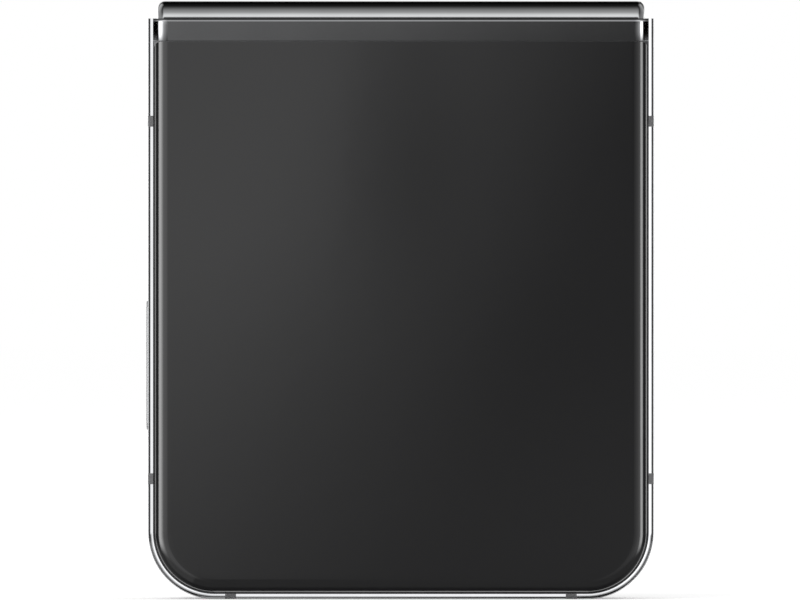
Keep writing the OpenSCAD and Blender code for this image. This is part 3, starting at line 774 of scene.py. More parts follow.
class Link:
    """A socket's value, for use in expressions."""

    def __init__(self, graph: Graph, socket: bpy.types.NodeSocket) -> None:
        """Keeps the socket and the tree that it is in."""
        self.graph = graph
        self.socket = socket

    def _math(self, operation: str, *values: object) -> Link:
        """Adds a Math node."""
        settings = {"operation": operation}
        return self.graph.out("ShaderNodeMath", 0, settings, dict(enumerate(values)))

    def __add__(self, other: object) -> Link:
        """Adds."""
        return self._math("ADD", self, other)

    def __sub__(self, other: object) -> Link:
        """Subtracts."""
        return self._math("SUBTRACT", self, other)

    def __rsub__(self, other: object) -> Link:
        """Subtracts from a number."""
        return self._math("SUBTRACT", other, self)

    def __mul__(self, other: object) -> Link:
        """Multiplies."""
        return self._math("MULTIPLY", self, other)

    def __truediv__(self, other: object) -> Link:
        """Divides."""
        return self._math("DIVIDE", self, other)

    __radd__ = __add__
    __rmul__ = __mul__

    def __abs__(self) -> Link:
        """Drops the sign."""
        return self._math("ABSOLUTE", self)

    def call(self, operation: str, *values: object) -> Link:
        """Applies any other operation of the Math node, with this as its first value."""
        return self._math(operation, self, *values)

    def rise(self, low: float, high: float) -> Link:
        """Rises smoothly from 0 at low to 1 at high, or falls where low is the higher."""
        first, last = (low, high) if low < high else (high, low)
        eased = self.graph.out(
            "ShaderNodeMapRange",
            0,
            {"interpolation_type": "SMOOTHSTEP"},
            {"Value": self, "From Min": first, "From Max": last, "To Min": 0.0, "To Max": 1.0},
        )
        return eased if low < high else 1 - eased


# ---- Finishes ----

Colour = tuple[float, float, float]


def grey(level: float, tint: Colour = (1, 1, 1)) -> Colour:
    """Returns a grey of a brightness, with a slight tint."""
    return (level * tint[0], level * tint[1], level * tint[2])


def with_alpha(colour: Colour) -> tuple[float, float, float, float]:
    """Returns a colour with full alpha, as sockets want it."""
    return (*colour, 1.0)


@dataclass(frozen=True)
class Finish:
    """What every finish has: a name, a colour and how glossy it is."""

    name: str
    colour: Colour
    roughness: float
    metallic: float = 0.0
    ior: float = 1.5
    coat: float = 0.0
    coat_roughness: float = 0.05

    def make(self) -> bpy.types.Material:
        """Makes the material.

        Returns:
            The material, with its nodes.
        """
        material = bpy.data.materials.new(self.name)
        material.use_nodes = True
        graph = Graph(material.node_tree)
        inputs = {
            "Base Color": with_alpha(self.colour),
            "Roughness": self.roughness,
            "Metallic": self.metallic,
            "IOR": self.ior,
            "Coat Weight": self.coat,
            "Coat Roughness": self.coat_roughness,
        }
        inputs.update(self.detail(graph))
        shader = graph.node("ShaderNodeBsdfPrincipled", inputs=inputs)
        end = graph.node("ShaderNodeOutputMaterial")
        graph.tree.links.new(shader.outputs[0], end.inputs[0])
        material.diffuse_color = with_alpha(self.colour)
        return material

    def detail(self, graph: Graph) -> dict[str, object]:
        """Returns the sockets that vary over the surface."""
        return {}

    def shade(self, factor: float) -> tuple[float, float, float, float]:
        """Returns the finish's colour made darker, or lighter up to white."""
        return with_alpha(tuple(min(1.0, c * factor) for c in self.colour))

    def relief(self, graph: Graph, height: Link, depth: float) -> Link:
        """Returns a normal bumped by a height pattern.

        Args:
            graph: The material's nodes.
            height: The pattern, from 0 to 1.
            depth: Its depth in millimetres.

        Returns:
            The normal.
        """
        inputs = {"Height": height, "Strength": 1.0, "Distance": depth * MM}
        return graph.out("ShaderNodeBump", "Normal", inputs=inputs)


@dataclass(frozen=True)
class MetalFinish(Finish):
    """Anodised metal: faint lengthwise polishing marks and a fine blasted grain."""

    metallic: float = 1.0
    marks: float = 0.04
    grain_depth: float = 0.0004
    run: Sequence[float] = (1, 12, 1)

    def detail(self, graph: Graph) -> dict[str, object]:
        """Polishing marks in the roughness, cloudy colour and a grain in the normal."""
        streaks = graph.noise(0.35, 4, self.run)
        clouds = graph.noise(9, 3)
        grain = graph.noise(0.05, 2)
        return {
            "Base Color": graph.blend(clouds, self.shade(0.9), self.shade(1.12)),
            "Roughness": self.roughness + (streaks - 0.5) * self.marks,
            "Normal": self.relief(graph, grain, self.grain_depth),
        }


@dataclass(frozen=True)
class FrameFinish(MetalFinish):
    """The frame's polished metal, with painted shade that darkens the flat band beside the hinge.
    """

    marks: float = 0.02
    band_z: float = 79.0
    band_share: float = 0.5
    band_soft: float = 0.04
    flat_x: float = 33.9
    flat_soft: float = 0.8

    def detail(self, graph: Graph) -> dict[str, object]:
        """Darkens the band's flat faces with painted shade."""
        sockets = super().detail(graph)
        x, _, z = graph.parts(graph.place())
        on_band = z.rise((self.band_z - self.band_soft) * MM, self.band_z * MM)
        on_flat = abs(x).rise(self.flat_x * MM, (self.flat_x - self.flat_soft) * MM)
        # Painted shade: the flat of the band is blended toward black.
        share = on_band * on_flat * (1 - self.band_share)
        sockets["Base Color"] = graph.blend(share, sockets["Base Color"], (0, 0, 0, 1))
        return sockets


@dataclass(frozen=True)
class GlassFinish(Finish):
    """Opaque coloured glass: depth in the colour, and the faintest unevenness of its polish."""

    fleck: float = 0.06
    wave: float = 0.0006

    def detail(self, graph: Graph) -> dict[str, object]:
        """Fine flecks in the colour, and slow changes of polish."""
        flecks = graph.noise(0.12, 2)
        slow = graph.noise(14, 3)
        dark, light = self.shade(1 - self.fleck), self.shade(1 + self.fleck)
        return {
            "Base Color": graph.blend(flecks, dark, light),
            "Roughness": self.roughness + (slow - 0.5) * (self.roughness * 0.3),
            "Normal": self.relief(graph, graph.noise(6, 1), self.wave),
        }


@dataclass(frozen=True)
class CoverFinish(GlassFinish):
    """Black cover glass, behind which the dark cover screen only just shows."""

    window: tuple[Point, Point] = ((0, 0), (1, 1))
    screen_colour: Colour = (0.004, 0.0045, 0.006)
    edge_soft: float = 0.05

    def detail(self, graph: Graph) -> dict[str, object]:
        """Adds the screen's window to the glass."""
        sockets = super().detail(graph)
        x, _, z = graph.parts(graph.place())
        (x0, z0), (x1, z1) = self.window
        inside = self._between(x, x0, x1) * self._between(z, z0, z1)
        glass, screen = sockets["Base Color"], with_alpha(self.screen_colour)
        sockets["Base Color"] = graph.blend(inside, glass, screen)
        return sockets

    def _between(self, value: Link, low: float, high: float) -> Link:
        """Returns 1 where a place in metres is between two in millimetres, with soft ends."""
        low, high, soft = low * MM, high * MM, self.edge_soft * MM
        return value.rise(low - soft, low + soft) * value.rise(high + soft, high - soft)


@dataclass(frozen=True)
class MouldedFinish(Finish):
    """Moulded plastic, rubber or glue: a spark-eroded grain and slightly uneven gloss."""

    grain: float = 0.09
    grain_depth: float = 0.004

    def detail(self, graph: Graph) -> dict[str, object]:
        """Grain in the normal, and clouds in the colour and the gloss."""
        clouds = graph.noise(3.5, 4)
        return {
            "Base Color": graph.blend(clouds, self.shade(0.85), self.shade(1.15)),
            "Roughness": self.roughness + (clouds - 0.5) * 0.12,
            "Normal": self.relief(graph, graph.noise(self.grain, 3), self.grain_depth),
        }


@dataclass(frozen=True)
class ScreenFinish(Finish):
    """The folding screen: a soft film over a black display, with a slight ripple at the fold."""

    ripple_z: tuple[float, float] = (0.074, 0.081)

    def detail(self, graph: Graph) -> dict[str, object]:
        """Ripples that follow the fold, and a film that is a little uneven."""
        _, _, z = graph.parts(graph.place())
        near_fold = z.rise(*self.ripple_z)
        ripple = graph.noise(2.2, 2, (0.12, 1, 1))
        return {
            "Base Color": graph.blend(graph.noise(20, 2), self.shade(1), self.shade(1.4)),
            "Roughness": self.roughness + near_fold * 0.05,
            "Normal": self.relief(graph, ripple * (0.25 + near_fold), 0.006),
        }


@dataclass(frozen=True)
class BoardFinish(Finish):
    """Solder mask over copper: tracks that run in both directions, and bare pads."""

    track: Colour = (0.05, 0.22, 0.12)
    pad: Colour = (0.72, 0.55, 0.25)

    def detail(self, graph: Graph) -> dict[str, object]:
        """Tracks from two brick patterns, with pads in the cells of a third."""
        place = graph.place()
        right_angle = math.pi / 2
        tracks = []
        for turn, width in (((right_angle, 0, 0), 3.1), ((right_angle, 0, right_angle), 5.3)):
            turned = graph.out("ShaderNodeMapping", inputs={"Vector": place, "Rotation": turn})
            inputs = {
                "Vector": turned,
                "Scale": 1 / (1.1 * MM),
                "Mortar Size": 0.09,
                "Brick Width": width,
                "Row Height": 0.42,
            }
            settings = {"offset": 0.5, "squash": 1.0}
            tracks.append(graph.out("ShaderNodeTexBrick", "Fac", settings, inputs))
        inputs = {"Vector": place, "Scale": 1 / (1.6 * MM)}
        spots = graph.out("ShaderNodeTexVoronoi", "Distance", {"feature": "F1"}, inputs)
        pads = spots.rise(0.2, 0.14)
        lines = (tracks[0] + tracks[1]).call("MINIMUM", 1.0)
        masked = graph.blend(lines, with_alpha(self.colour), with_alpha(self.track))
        return {
            "Base Color": graph.blend(pads, masked, with_alpha(self.pad)),
            "Metallic": pads * 0.9,
            "Normal": self.relief(graph, lines + pads, 0.03),
        }


@dataclass(frozen=True)
class WrapFinish(Finish):
    """Battery wrap: thin film with soft creases."""

    def detail(self, graph: Graph) -> dict[str, object]:
        """Creases in the normal and in the gloss, and painted shade and highlight in the colour."""
        creases = graph.noise(6, 5, (1, 1, 1.8), 0.6)
        return {
            # Painted shade and highlight: the colour follows the creases' height, darker in their
            # hollows.
            "Base Color": graph.blend(creases, self.shade(0.8), self.shade(1.3)),
            "Roughness": self.roughness + (creases - 0.5) * 0.2,
            "Normal": self.relief(graph, creases, 0.08),
        }


@dataclass(frozen=True)
class WovenFinish(Finish):
    """Fine wire mesh: two sets of round wires that cross."""

    pitch: float = 0.16

    def detail(self, graph: Graph) -> dict[str, object]:
        """Wires from two sine patterns, dark between them."""
        x, y, _ = graph.parts(graph.place())
        turn = math.tau / (self.pitch * MM)
        wires = abs((x * turn).call("SINE")).call("MAXIMUM", abs((y * turn).call("SINE")))
        between = with_alpha(grey(0.002))
        return {
            "Base Color": graph.blend(wires.rise(0.55, 0.8), between, self.shade(1)),
            "Normal": self.relief(graph, wires, 0.05),
        }


@dataclass(frozen=True)
class LensFinish(Finish):
    """Coated lens glass, whose coating shows more colour where the glass is seen at a slant."""

    glow: Colour = (0.03, 0.012, 0.05)

    def detail(self, graph: Graph) -> dict[str, object]:
        """Colour of the coating by the angle, with the faintest dust."""
        slant = graph.out("ShaderNodeLayerWeight", "Facing", inputs={"Blend": 0.35})
        dust = graph.noise(0.4, 2)
        return {
            "Base Color": graph.blend(slant, with_alpha(self.colour), with_alpha(self.glow)),
            "Roughness": self.roughness + dust * 0.02,
        }


@dataclass(frozen=True)
class WindowFinish(Finish):
    """Thin smoky window glass over a camera, clear enough to show the lens."""

    alpha: float = 0.2

    def detail(self, graph: Graph) -> dict[str, object]:
        """The clearness, and the faintest haze."""
        return {"Alpha": self.alpha, "Roughness": self.roughness + graph.noise(1.5, 2) * 0.02}


class Palette:
    """The phone's finishes by the record's material slots, and a few more for details."""

    def __init__(self, sizes: PhoneSizes) -> None:
        """Makes every material once.

        Args:
            sizes: The phone's sizes, for the frame's band and the cover screen's window.
        """
        frame_grey, spine_grey = grey(0.2, (1, 1.01, 1.03)), grey(0.2, (1, 1.01, 1.02))
        break_grey, flash_white = grey(0.11, (1, 1, 1.03)), (0.8, 0.75, 0.6)
        band_z = sizes.frame_top - sizes.band_h
        finishes = (
            FrameFinish("frame_metal", frame_grey, 0.07, band_z=band_z),
            MetalFinish("spine_metal", spine_grey, 0.07, marks=0.02, run=(0.2, 6, 6)),
            MouldedFinish("break_plastic", break_grey, 0.45, grain=0.05, grain_depth=0.002),
            GlassFinish("graphite_glass", grey(0.0148, (1, 1, 1.04)), 0.03),
            CoverFinish("black_glass", grey(0.006), 0.05, window=sizes.cover_window),
            ScreenFinish("screen_black", grey(0.005, (1, 1, 1.2)), 0.14),
            MouldedFinish("bezel_rubber", grey(0.018), 0.6, grain=0.07, grain_depth=0.003),
            MouldedFinish("black_adhesive", grey(0.015), 0.75, grain=0.3, grain_depth=0.01),
            MouldedFinish("dark_plastic", grey(0.025), 0.5),
            WrapFinish("battery_wrap", grey(0.05), 0.4),
            MouldedFinish("ferrite", grey(0.055), 0.65, grain=0.25, grain_depth=0.01),
            MetalFinish("copper", (0.72, 0.34, 0.18), 0.3, marks=0.15),
            BoardFinish("circuit_board", (0.01, 0.07, 0.035), 0.35),
            MetalFinish("plain_steel", grey(0.5), 0.32, marks=0.12),
            MetalFinish("magnet_nickel", grey(0.6, (1, 0.99, 0.96)), 0.22),
            MetalFinish("gear_bronze", (0.65, 0.45, 0.2), 0.35, marks=0.1),
            LensFinish("lens_glass", (0.004, 0.004, 0.008), 0.02, coat=1.0),
            MouldedFinish(
                "flash_plastic", flash_white, 0.25, grain=0.5, grain_depth=0.004, coat=0.6
            ),
            WindowFinish("window_glass", grey(0.004), 0.01),
            WovenFinish("mesh_wire", grey(0.12), 0.4, metallic=0.7),
            MetalFinish("contact_gold", (0.85, 0.6, 0.25), 0.25),
            MouldedFinish("barrel_black", grey(0.006), 0.35, grain=0.05, grain_depth=0.002),
        )
        self.materials = {f.name: f.make() for f in finishes}

    def __getitem__(self, name: str) -> bpy.types.Material:
        """Returns the material of a finish."""
        return self.materials[name]

    def dress_nodes(self, frame: dict) -> None:
        """Gives every CAD node the finish that the record names for it.
        """
        for part in frame["record"]["subparts"]:
            node = frame["nodes"][part["node"]]
            look = self.materials[NODE_FINISHES.get(part["node"], part["material_slot"])]
            if not node.material_slots:
                node.data.materials.append(look)
            for slot in node.material_slots:
                slot.material = look


NODE_FINISHES = {
    "speaker_mesh": "mesh_wire",
    "front_camera": "barrel_black",
    "microphone": "plain_steel",
}


# ---- The halves ----

# Cosine and sine of the slope of the chamfer along the band's top edge.
BEVEL_SLOPE = (0.848, 0.53)


@dataclass
class HalfShell:
    """The frame, glass and antenna breaks that both halves have."""

    sizes: PhoneSizes
    palette: Palette
    side: Side
    facet_tilt: float = 27.0
    facet_reach: float = 0.36
    lip_fillet: float = 0.07
    front_edge_r: float = 0.5
    lip_w: float = 0.8
    glass_edge: float = 0.32
    glass_foot: float = 0.11
    cavity_r: float = 4.6
    wall_r: float = 1.85
    web: tuple[float, float] = (0.5, 1.3)
    beam_low: float = 72.2
    beam_back: float = 1.13
    overlap: float = 0.1
    band_root: float = 1.2
    band_depth: float = 1.0
    band_foot_r: float = 0.1
    band_setback: float = 0.0875
    band_bevel: tuple[float, float] = (0.42, 0.28)
    band_top_r: float = 0.55
    band_tuck: float = 0.06
    band_inset: float = 0.4
    crown_steps: int = 16
    end_r: float = 0.35
    glass_corner_r: float = 1.0
    glass_cut: tuple[float, float] = (5.0, 8.0)
    mic_x: float = -10.0
    mic_r: float = 0.5
    holes: list[Form] = field(default_factory=list)

    def build(self) -> None:
        """Builds the frame of this half and its breaks."""
        rail = Form.swept(self.rail_outline(), self.sizes, self.sizes.frame_top)
        rail.softened(self.end_r, 4, self._at_rail_end, 60)
        breaks = self.break_boxes()
        plastic = rail.copy().kept(breaks.copy())
        rail.joined(self.band(), self.beam(), self.web_plate())
        rail.cut(self.cavity(), self.wall_trim(), breaks, *self.holes)
        self._piece(rail, "frame_shell", "frame_metal", "frame")
        self._piece(plastic, "antenna_breaks", "break_plastic", "antenna_breaks")

    def _at_rail_end(self, middle: Vector) -> bool:
        """Whether an edge is on the outer side of the rail's ends at the hinge."""
        s = self.sizes
        at_end = middle.z > s.frame_top - 0.01
        return at_end and abs(middle.x) > s.side_x - 0.5 and middle.y > 1.0

    def _piece(self, form: Form, name: str, slot: str, node: str) -> None:
        """Makes a piece of this half that stands for its CAD node."""
        word = self.side.word
        look = self.palette[slot]
        made = form.piece(f"{word}_{name}_looks", self.side, self.side.body, slot, look)
        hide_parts(f"{word}_{node}")

    def rail_outline(self) -> list[Point]:
        """Section of the rail: round beside the screen, a polished facet beside the glass."""
        s = self.sizes
        tilt = math.radians(self.facet_tilt)
        lip_t = s.rail_top
        facet_t = lip_t - (self.lip_w - self.facet_reach) * math.tan(tilt)
        side_r = self.facet_reach / (1 - math.sin(tilt))
        side_mid = (side_r, facet_t - side_r * math.cos(tilt))
        recess = s.side_x - s.screen_x - 0.05
        front = arc((self.front_edge_r, self.front_edge_r), self.front_edge_r, 270, 180, 6)
        outer = arc(side_mid, side_r, 180, 90 + self.facet_tilt, 8)
        fillet = self.lip_fillet
        return [
            *front,
            *outer,
            (self.lip_w - fillet, lip_t - fillet * math.tan(tilt)),
            (self.lip_w, lip_t - 1.6 * fillet),
            (self.lip_w, s.ledge),
            (s.rail_wall, s.ledge),
            (s.rail_wall, s.screen_t),
            (recess, s.screen_t),
            (recess, 0.0),
        ]

    def band(self) -> Form:
        """The bare metal band between the glass and the fold, curved down at its ends."""
        s = self.sizes
        low, high = s.frame_top - s.band_h, s.frame_top
        back, front = s.ledge - self.band_depth, s.half_t
        foot_r, top_r = self.band_foot_r, self.band_top_r
        bevel_t, bevel_z = front - self.band_setback, high - self.band_bevel[1]
        top_mid = (bevel_t - top_r * BEVEL_SLOPE[0], bevel_z - top_r * BEVEL_SLOPE[1])
        section = [
            (back, low),
            *arc((front - foot_r, low + foot_r), foot_r, -90, 0, 4),
            (front, high - self.band_bevel[0]),
            (bevel_t, bevel_z),
            *arc(top_mid, top_r, 36, 85, 6),
            (back, high),
        ]
        steps = self.crown_steps
        curve = [s.glass_x - s.crown_w * i / steps for i in range(steps + 1)]
        half = [s.side_x - self.lip_w + self.band_tuck, *curve]
        stations = [-x for x in half] + half[::-1]
        form = Form()
        verts = [form.bm.verts.new((stations[0], t, z)) for t, z in section]
        form.bm.faces.new(verts)
        edges = list(form.bm.edges)
        for x0, x1 in zip(stations, stations[1:]):
            edges = form._pull(edges, Vector((x1 - x0, 0, 0)))
        form.capped()
        for vert in form.bm.verts:
            share = min(1.0, (vert.co.y - back) / self.band_root)
            vert.co.y -= share * (s.half_t - s.crown(s.glass_x - abs(vert.co.x)))
        reach_x = s.side_x - self.band_inset
        filler = Form.box((-reach_x, back, low), (reach_x, s.rail_top - self.band_inset, high))
        return form.facing_out().joined(filler)

    def beam(self) -> Form:
        """The beam that carries the hinge."""
        s = self.sizes
        reach_x = s.cavity_x + self.overlap
        low = (-reach_x, self.beam_back, self.beam_low)
        return Form.box(low, (reach_x, s.ledge, s.frame_top))

    def web_plate(self) -> Form:
        """The web that backs the screen."""
        s = self.sizes
        reach = s.rail_wall - self.overlap
        corner = s.corner_r - reach
        bend = s.side_x - s.corner_r
        outline = [
            *arc((-bend, s.corner_r), corner, 180, 270, 12),
            *arc((bend, s.corner_r), corner, 270, 360, 12),
            (s.side_x - reach, self.beam_low + self.overlap),
            (-s.side_x + reach, self.beam_low + self.overlap),
        ]
        return Form.through(outline, *self.web)

    def cavity(self) -> Form:
        """The room that the spine turns in."""
        s = self.sizes
        over = s.frame_top + 2
        outline = [
            (-1.0, over),
            (-1.0, s.axis_z - self.cavity_r),
            *arc((s.axis_t, s.axis_z), self.cavity_r, 270, 360, 24),
            (s.axis_t + self.cavity_r, over),
        ]
        return Form.along_x(outline, -s.cavity_x, s.cavity_x)

    def wall_trim(self) -> Form:
        """What the walls beside the hinge lose, so that they clear each other as they turn."""
        s = self.sizes
        outline = [
            (-1.0, s.axis_z),
            *arc((s.axis_t, s.axis_z), self.wall_r, 180, 90, 12),
            (s.axis_t, s.frame_top + 1),
            (-1.0, s.frame_top + 1),
        ]
        return Form.along_x(outline, -s.side_x - 1, s.side_x + 1)

    def break_boxes(self) -> Form:
        """The six places where plastic fills a break of the frame."""
        s = self.sizes
        half, depth = s.break_w / 2, s.break_depth
        boxes = [
            Form.box((x0, -1, z - half), (x0 + depth + 1, s.half_t + 1, z + half))
            for z in (s.break_low_z, s.break_high_z)
            for x0 in (-s.side_x - 1, s.side_x - depth)
        ]
        boxes += [
            Form.box((x - half, -1, -1), (x + half, s.half_t + 1, depth))
            for x in (-s.break_x, s.break_x)
        ]
        return Form().with_loose(*boxes)

    def glass_outline(self) -> list[Point]:
        """Section of the glass's curved edge, from its front round to its back."""
        s = self.sizes
        start = s.glass_inset
        edge, tilt = self.glass_edge, math.tan(math.radians(self.facet_tilt))
        steps = self.crown_steps
        curve = [s.crown_w + (edge - s.crown_w) * i / steps for i in range(steps + 1)]
        foot = s.crown(edge) - (edge - self.glass_foot) * tilt
        return [
            (start + s.crown_w + 0.6, s.half_t),
            *[(start + reach, s.crown(reach)) for reach in curve],
            (start + self.glass_foot, foot),
            (start + 0.03, foot - 0.06),
            (start, foot - 0.12),
            (start, s.glass_back + 0.05),
            (start + 0.05, s.glass_back),
            (start + s.crown_w + 0.6, s.glass_back),
        ]

    def glass(self, *openings: Form) -> Form:
        """The glass plate, with round corners beside the band.

        Args:
            openings: What is cut out of it.

        Returns:
            The glass's form.
        """
        s = self.sizes
        plate = Form.plate(self.glass_outline(), s, s.glass_top)
        corner_r, over = self.glass_corner_r, self.glass_corner_r + 0.5
        x, z = s.glass_x - corner_r, s.glass_top - corner_r
        outline = [
            *arc((x, z), corner_r, 90, 0, 8),
            (x + over, z),
            (x + over, z + over),
            (x, z + over),
        ]
        trim = Form.through(outline, *self.glass_cut)
        plate.cut(trim.copy(), trim.mirrored_x(), *openings)
        return plate.softened(0.05, 2, lambda m: m.z > s.glass_top - 0.02 and m.y > s.half_t - 0.45)

    def mic_hole(self) -> Form:
        """The round hole in the bottom for this half's microphone."""
        return hole_in_bottom(self.sizes, self.mic_x, 2 * self.mic_r, 2 * self.mic_r)


def mouth_steps(flare: float) -> tuple[tuple[float, float], ...]:
    """How far in each outline of a flared hole lies, and how much it grows there."""
    return ((HOLE_REACH, 0.0), (flare, 0.0), (-MOUTH_REACH, flare + MOUTH_REACH))


def slot_through_side(
    sizes: PhoneSizes, x: float, z: float, length: float, width: float, flare: float = 0.12
) -> Form:
    """A slot through a side rail, with its mouth flared a little.

    Args:
        sizes: The phone's sizes.
        x: Place of the rail's face, negative on the left.
        z: Height of the slot's middle.
        length: Length of the slot, upright.
        width: Width of the slot.
        flare: Reach of the mouth's bevel.

    Returns:
        The form to cut with.
    """
    inward = -math.copysign(1, x)
    return Form.lofted(
        [
            (x + inward * reach, sizes.rail_mid + t, z + u)
            for u, t in stadium(length + 2 * grow, width + 2 * grow)
        ]
        for reach, grow in mouth_steps(flare)
    )


def hole_in_bottom(
    sizes: PhoneSizes, x: float, length: float, width: float, flare: float = 0.1
) -> Form:
    """A slot or hole up through the bottom rail, with its mouth flared a little.

    Args:
        sizes: The phone's sizes.
        x: Place of its middle across the width.
        length: Its length along the width.
        width: Its width through the thickness.
        flare: Reach of the mouth's bevel.

    Returns:
        The form to cut with.
    """
    sliver = 0.001  # keeps the round ends of a round hole apart
    return Form.lofted(
        [
            (x + u, sizes.rail_mid + t, height)
            for u, t in stadium(length + 2 * grow + sliver, width + 2 * grow)
        ]
        for height, grow in mouth_steps(flare)
    )


@dataclass
class LowerShell(HalfShell):
    """The plain half, with the port and the sound holes in its bottom."""

    port_w: float = 8.34
    port_h: float = 2.56
    port_wall: float = 0.3
    port_low: float = 0.35
    port_high: float = 7.55
    hole_r: float = 0.55
    hole_x: float = 11.5
    hole_pitch: float = 1.9
    hole_count: int = 5
    tongue_half: tuple[float, float] = (3.35, 0.35)
    tongue_z: tuple[float, float] = (1.15, 7.3)
    contact_count: int = 12
    contact_pitch: float = 0.5
    contact_half: tuple[float, float] = (0.13, 0.03)
    contact_z: tuple[float, float] = (1.5, 5.2)

    def build(self) -> None:
        """Builds the half, its back glass and its port."""
        s = self.sizes
        fit = 2 * (self.port_wall + 0.05)
        self.holes = [hole_in_bottom(s, 0, self.port_w + fit, self.port_h + fit, 0.18)]
        self.holes += [
            hole_in_bottom(s, self.hole_x + i * self.hole_pitch, 2 * self.hole_r, 2 * self.hole_r)
            for i in range(self.hole_count)
        ]
        self.holes.append(self.mic_hole())
        super().build()
        look = self.palette["graphite_glass"]
        glass = self.glass()
        made = glass.piece("back_glass_looks", self.side, self.side.body, "graphite_glass", look)
        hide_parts("back_glass")
        self.port()

    def port(self) -> None:
        """The charging port: a drawn steel shell round a tongue with two rows of contacts."""
        s = self.sizes
        low, high, walls = self.port_low, self.port_high, 2 * self.port_wall
        shell = self._upright(self.port_w + walls, self.port_h + walls, low, high)
        shell.cut(self._upright(self.port_w, self.port_h, low - 1, high - self.port_wall))
        shell.softened(0.07, 2, lambda m: m.z < self.port_low + 0.05)
        side, body = self.side, self.side.body
        steel = self.palette["plain_steel"]
        made = shell.piece("port_shell_looks", side, body, "plain_steel", steel)
        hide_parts("charging_port")
        half_x, half_t = self.tongue_half
        tongue = Form.box(
            (-half_x, s.rail_mid - half_t, self.tongue_z[0]),
            (half_x, s.rail_mid + half_t, self.tongue_z[1]),
        )
        tongue.softened(0.12, 4)
        tongue.piece("port_tongue", side, body, "dark_plastic", self.palette["dark_plastic"])
        contacts = Form()
        reach_x, reach_t = self.contact_half
        for row in (-1, 1):
            t = s.rail_mid + row * half_t
            for i in range(self.contact_count):
                x = (i - (self.contact_count - 1) / 2) * self.contact_pitch
                near = (x - reach_x, t - reach_t, self.contact_z[0])
                far = (x + reach_x, t + reach_t, self.contact_z[1])
                contacts.with_loose(Form.box(near, far).softened(0.015, 1))
        contacts.piece("port_contacts", side, body, "gear_bronze", self.palette["contact_gold"])

    def _upright(self, length: float, width: float, z0: float, z1: float) -> Form:
        """A slot-shaped bar that stands in the port's place."""
        outline = [(u, self.sizes.rail_mid + t) for u, t in stadium(length, width, 14)]
        return Form.upward(outline, z0, z1)


@dataclass
class UpperShell(HalfShell):
    """The half with the cover screen, the keys and the card tray."""

    volume_len: float = 18.4
    power_len: float = 13.0
    key_w: float = 2.0
    key_play: float = 0.1
    tray_len: float = 15.0
    tray_w: float = 2.2
    tray_root: float = 1.5
    drawer_reach: float = 15.5
    drawer_half: tuple[float, float] = (6.2, 0.65)
    card_x: tuple[float, float] = (0.8, 13.1)
    card_half: float = 4.4
    pin_d: float = 0.8
    window_r: float = 5.55
    flash_r: float = 2.15

    def build(self) -> None:
        """Builds the half, its cover glass, the keys and the card tray."""
        s = self.sizes
        grow = 2 * self.key_play
        self.holes = [
            slot_through_side(s, -s.side_x, s.volume_z, self.volume_len + grow, self.key_w + grow),
            slot_through_side(s, -s.side_x, s.power_z, self.power_len + grow, self.key_w + grow),
            slot_through_side(s, s.side_x, s.tray_z, self.tray_len + 0.1, self.tray_w + 0.1, 0.06),
            self.mic_hole(),
        ]
        super().build()
        openings = [self._opening(self.window_r, x) for x in s.camera_xs]
        openings.append(self._opening(self.flash_r, s.flash_x))
        look = self.palette["black_glass"]
        glass = self.glass(*openings)
        made = glass.piece("cover_glass_looks", self.side, self.side.body, "black_glass", look)
        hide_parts("cover_glass")
        self.keys()
        self.tray()

    def _opening(self, radius: float, x: float) -> Form:
        """A round hole through the cover glass, at the cameras' height."""
        low, high = self.glass_cut
        outline = [(0, low), (radius, low), (radius, high), (0, high)]
        return Form.turned(outline, x, self.sizes.camera_z)

    def _bar(self, x0: float, x1: float, z: float, length: float, width: float) -> Form:
        """A slot-shaped bar along X, in the middle of the rail."""
        outline = [(self.sizes.rail_mid + t, z + u) for u, t in stadium(length, width)]
        return Form.along_x(outline, x0, x1)

    def keys(self) -> None:
        """The volume key, which stands proud, and the power key, which is level with the rail."""
        s = self.sizes
        inner = -s.side_x + 2.0
        metal = self.palette["frame_metal"]
        rows = (
            ("volume_key", "volume_rocker", s.volume_z, self.volume_len, s.volume_x, 0.22),
            ("power_key", "power_button", s.power_z, self.power_len, -s.side_x, 0.08),
        )
        for node, body, z, length, face_x, rounding in rows:
            key = self._bar(face_x, inner + 0.3, z, length, self.key_w)
            key.softened(rounding, 4, lambda m, x=face_x: m.x < x + 0.05)
            key.joined(self._bar(inner + 0.2, inner + 0.6, z, length + 1.2, self.key_w + 1.2))
            if node == "power_key":
                key.cut(self._bar(face_x - 1, face_x + 0.06, z, length - 0.9, self.key_w - 0.9))
            made = key.piece(f"{node}_looks", self.side, body, "frame_metal", metal)
            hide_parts(node)

    def tray(self) -> None:
        """The card tray: its face in the rail, with the pin's hole, and the card's frame."""
        s = self.sizes
        mid_t, mid_z = s.rail_mid, s.tray_z
        face = self._bar(s.side_x - self.tray_root, s.side_x, mid_z, self.tray_len, self.tray_w)
        face.softened(0.08, 4, lambda m: m.x > s.side_x - 0.05)
        low_x = s.side_x - self.drawer_reach
        half_w, half_t = self.drawer_half
        drawer_high = (s.side_x - 1.4, mid_z + half_w)
        drawer = Form.through(
            rounded_box((low_x, mid_z - half_w), drawer_high, 0.8), mid_t - half_t, mid_t + half_t
        )
        card_low = (low_x + self.card_x[0], mid_z - self.card_half)
        card_high = (low_x + self.card_x[1], mid_z + self.card_half)
        card = Form.through(rounded_box(card_low, card_high, 0.6), mid_t - 0.05, mid_t + 2)
        round_hole = stadium(self.pin_d + 0.001, self.pin_d, 10)
        pin = [(mid_t + t, mid_z + half_w + u) for u, t in round_hole]
        face.joined(drawer).cut(card, Form.along_x(pin, s.side_x - 2.5, s.side_x + 1))
        metal = self.palette["frame_metal"]
        made = face.piece("card_tray_looks", self.side, "card_drawer", "frame_metal", metal)
        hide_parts("card_tray")


# ---- Screen ----


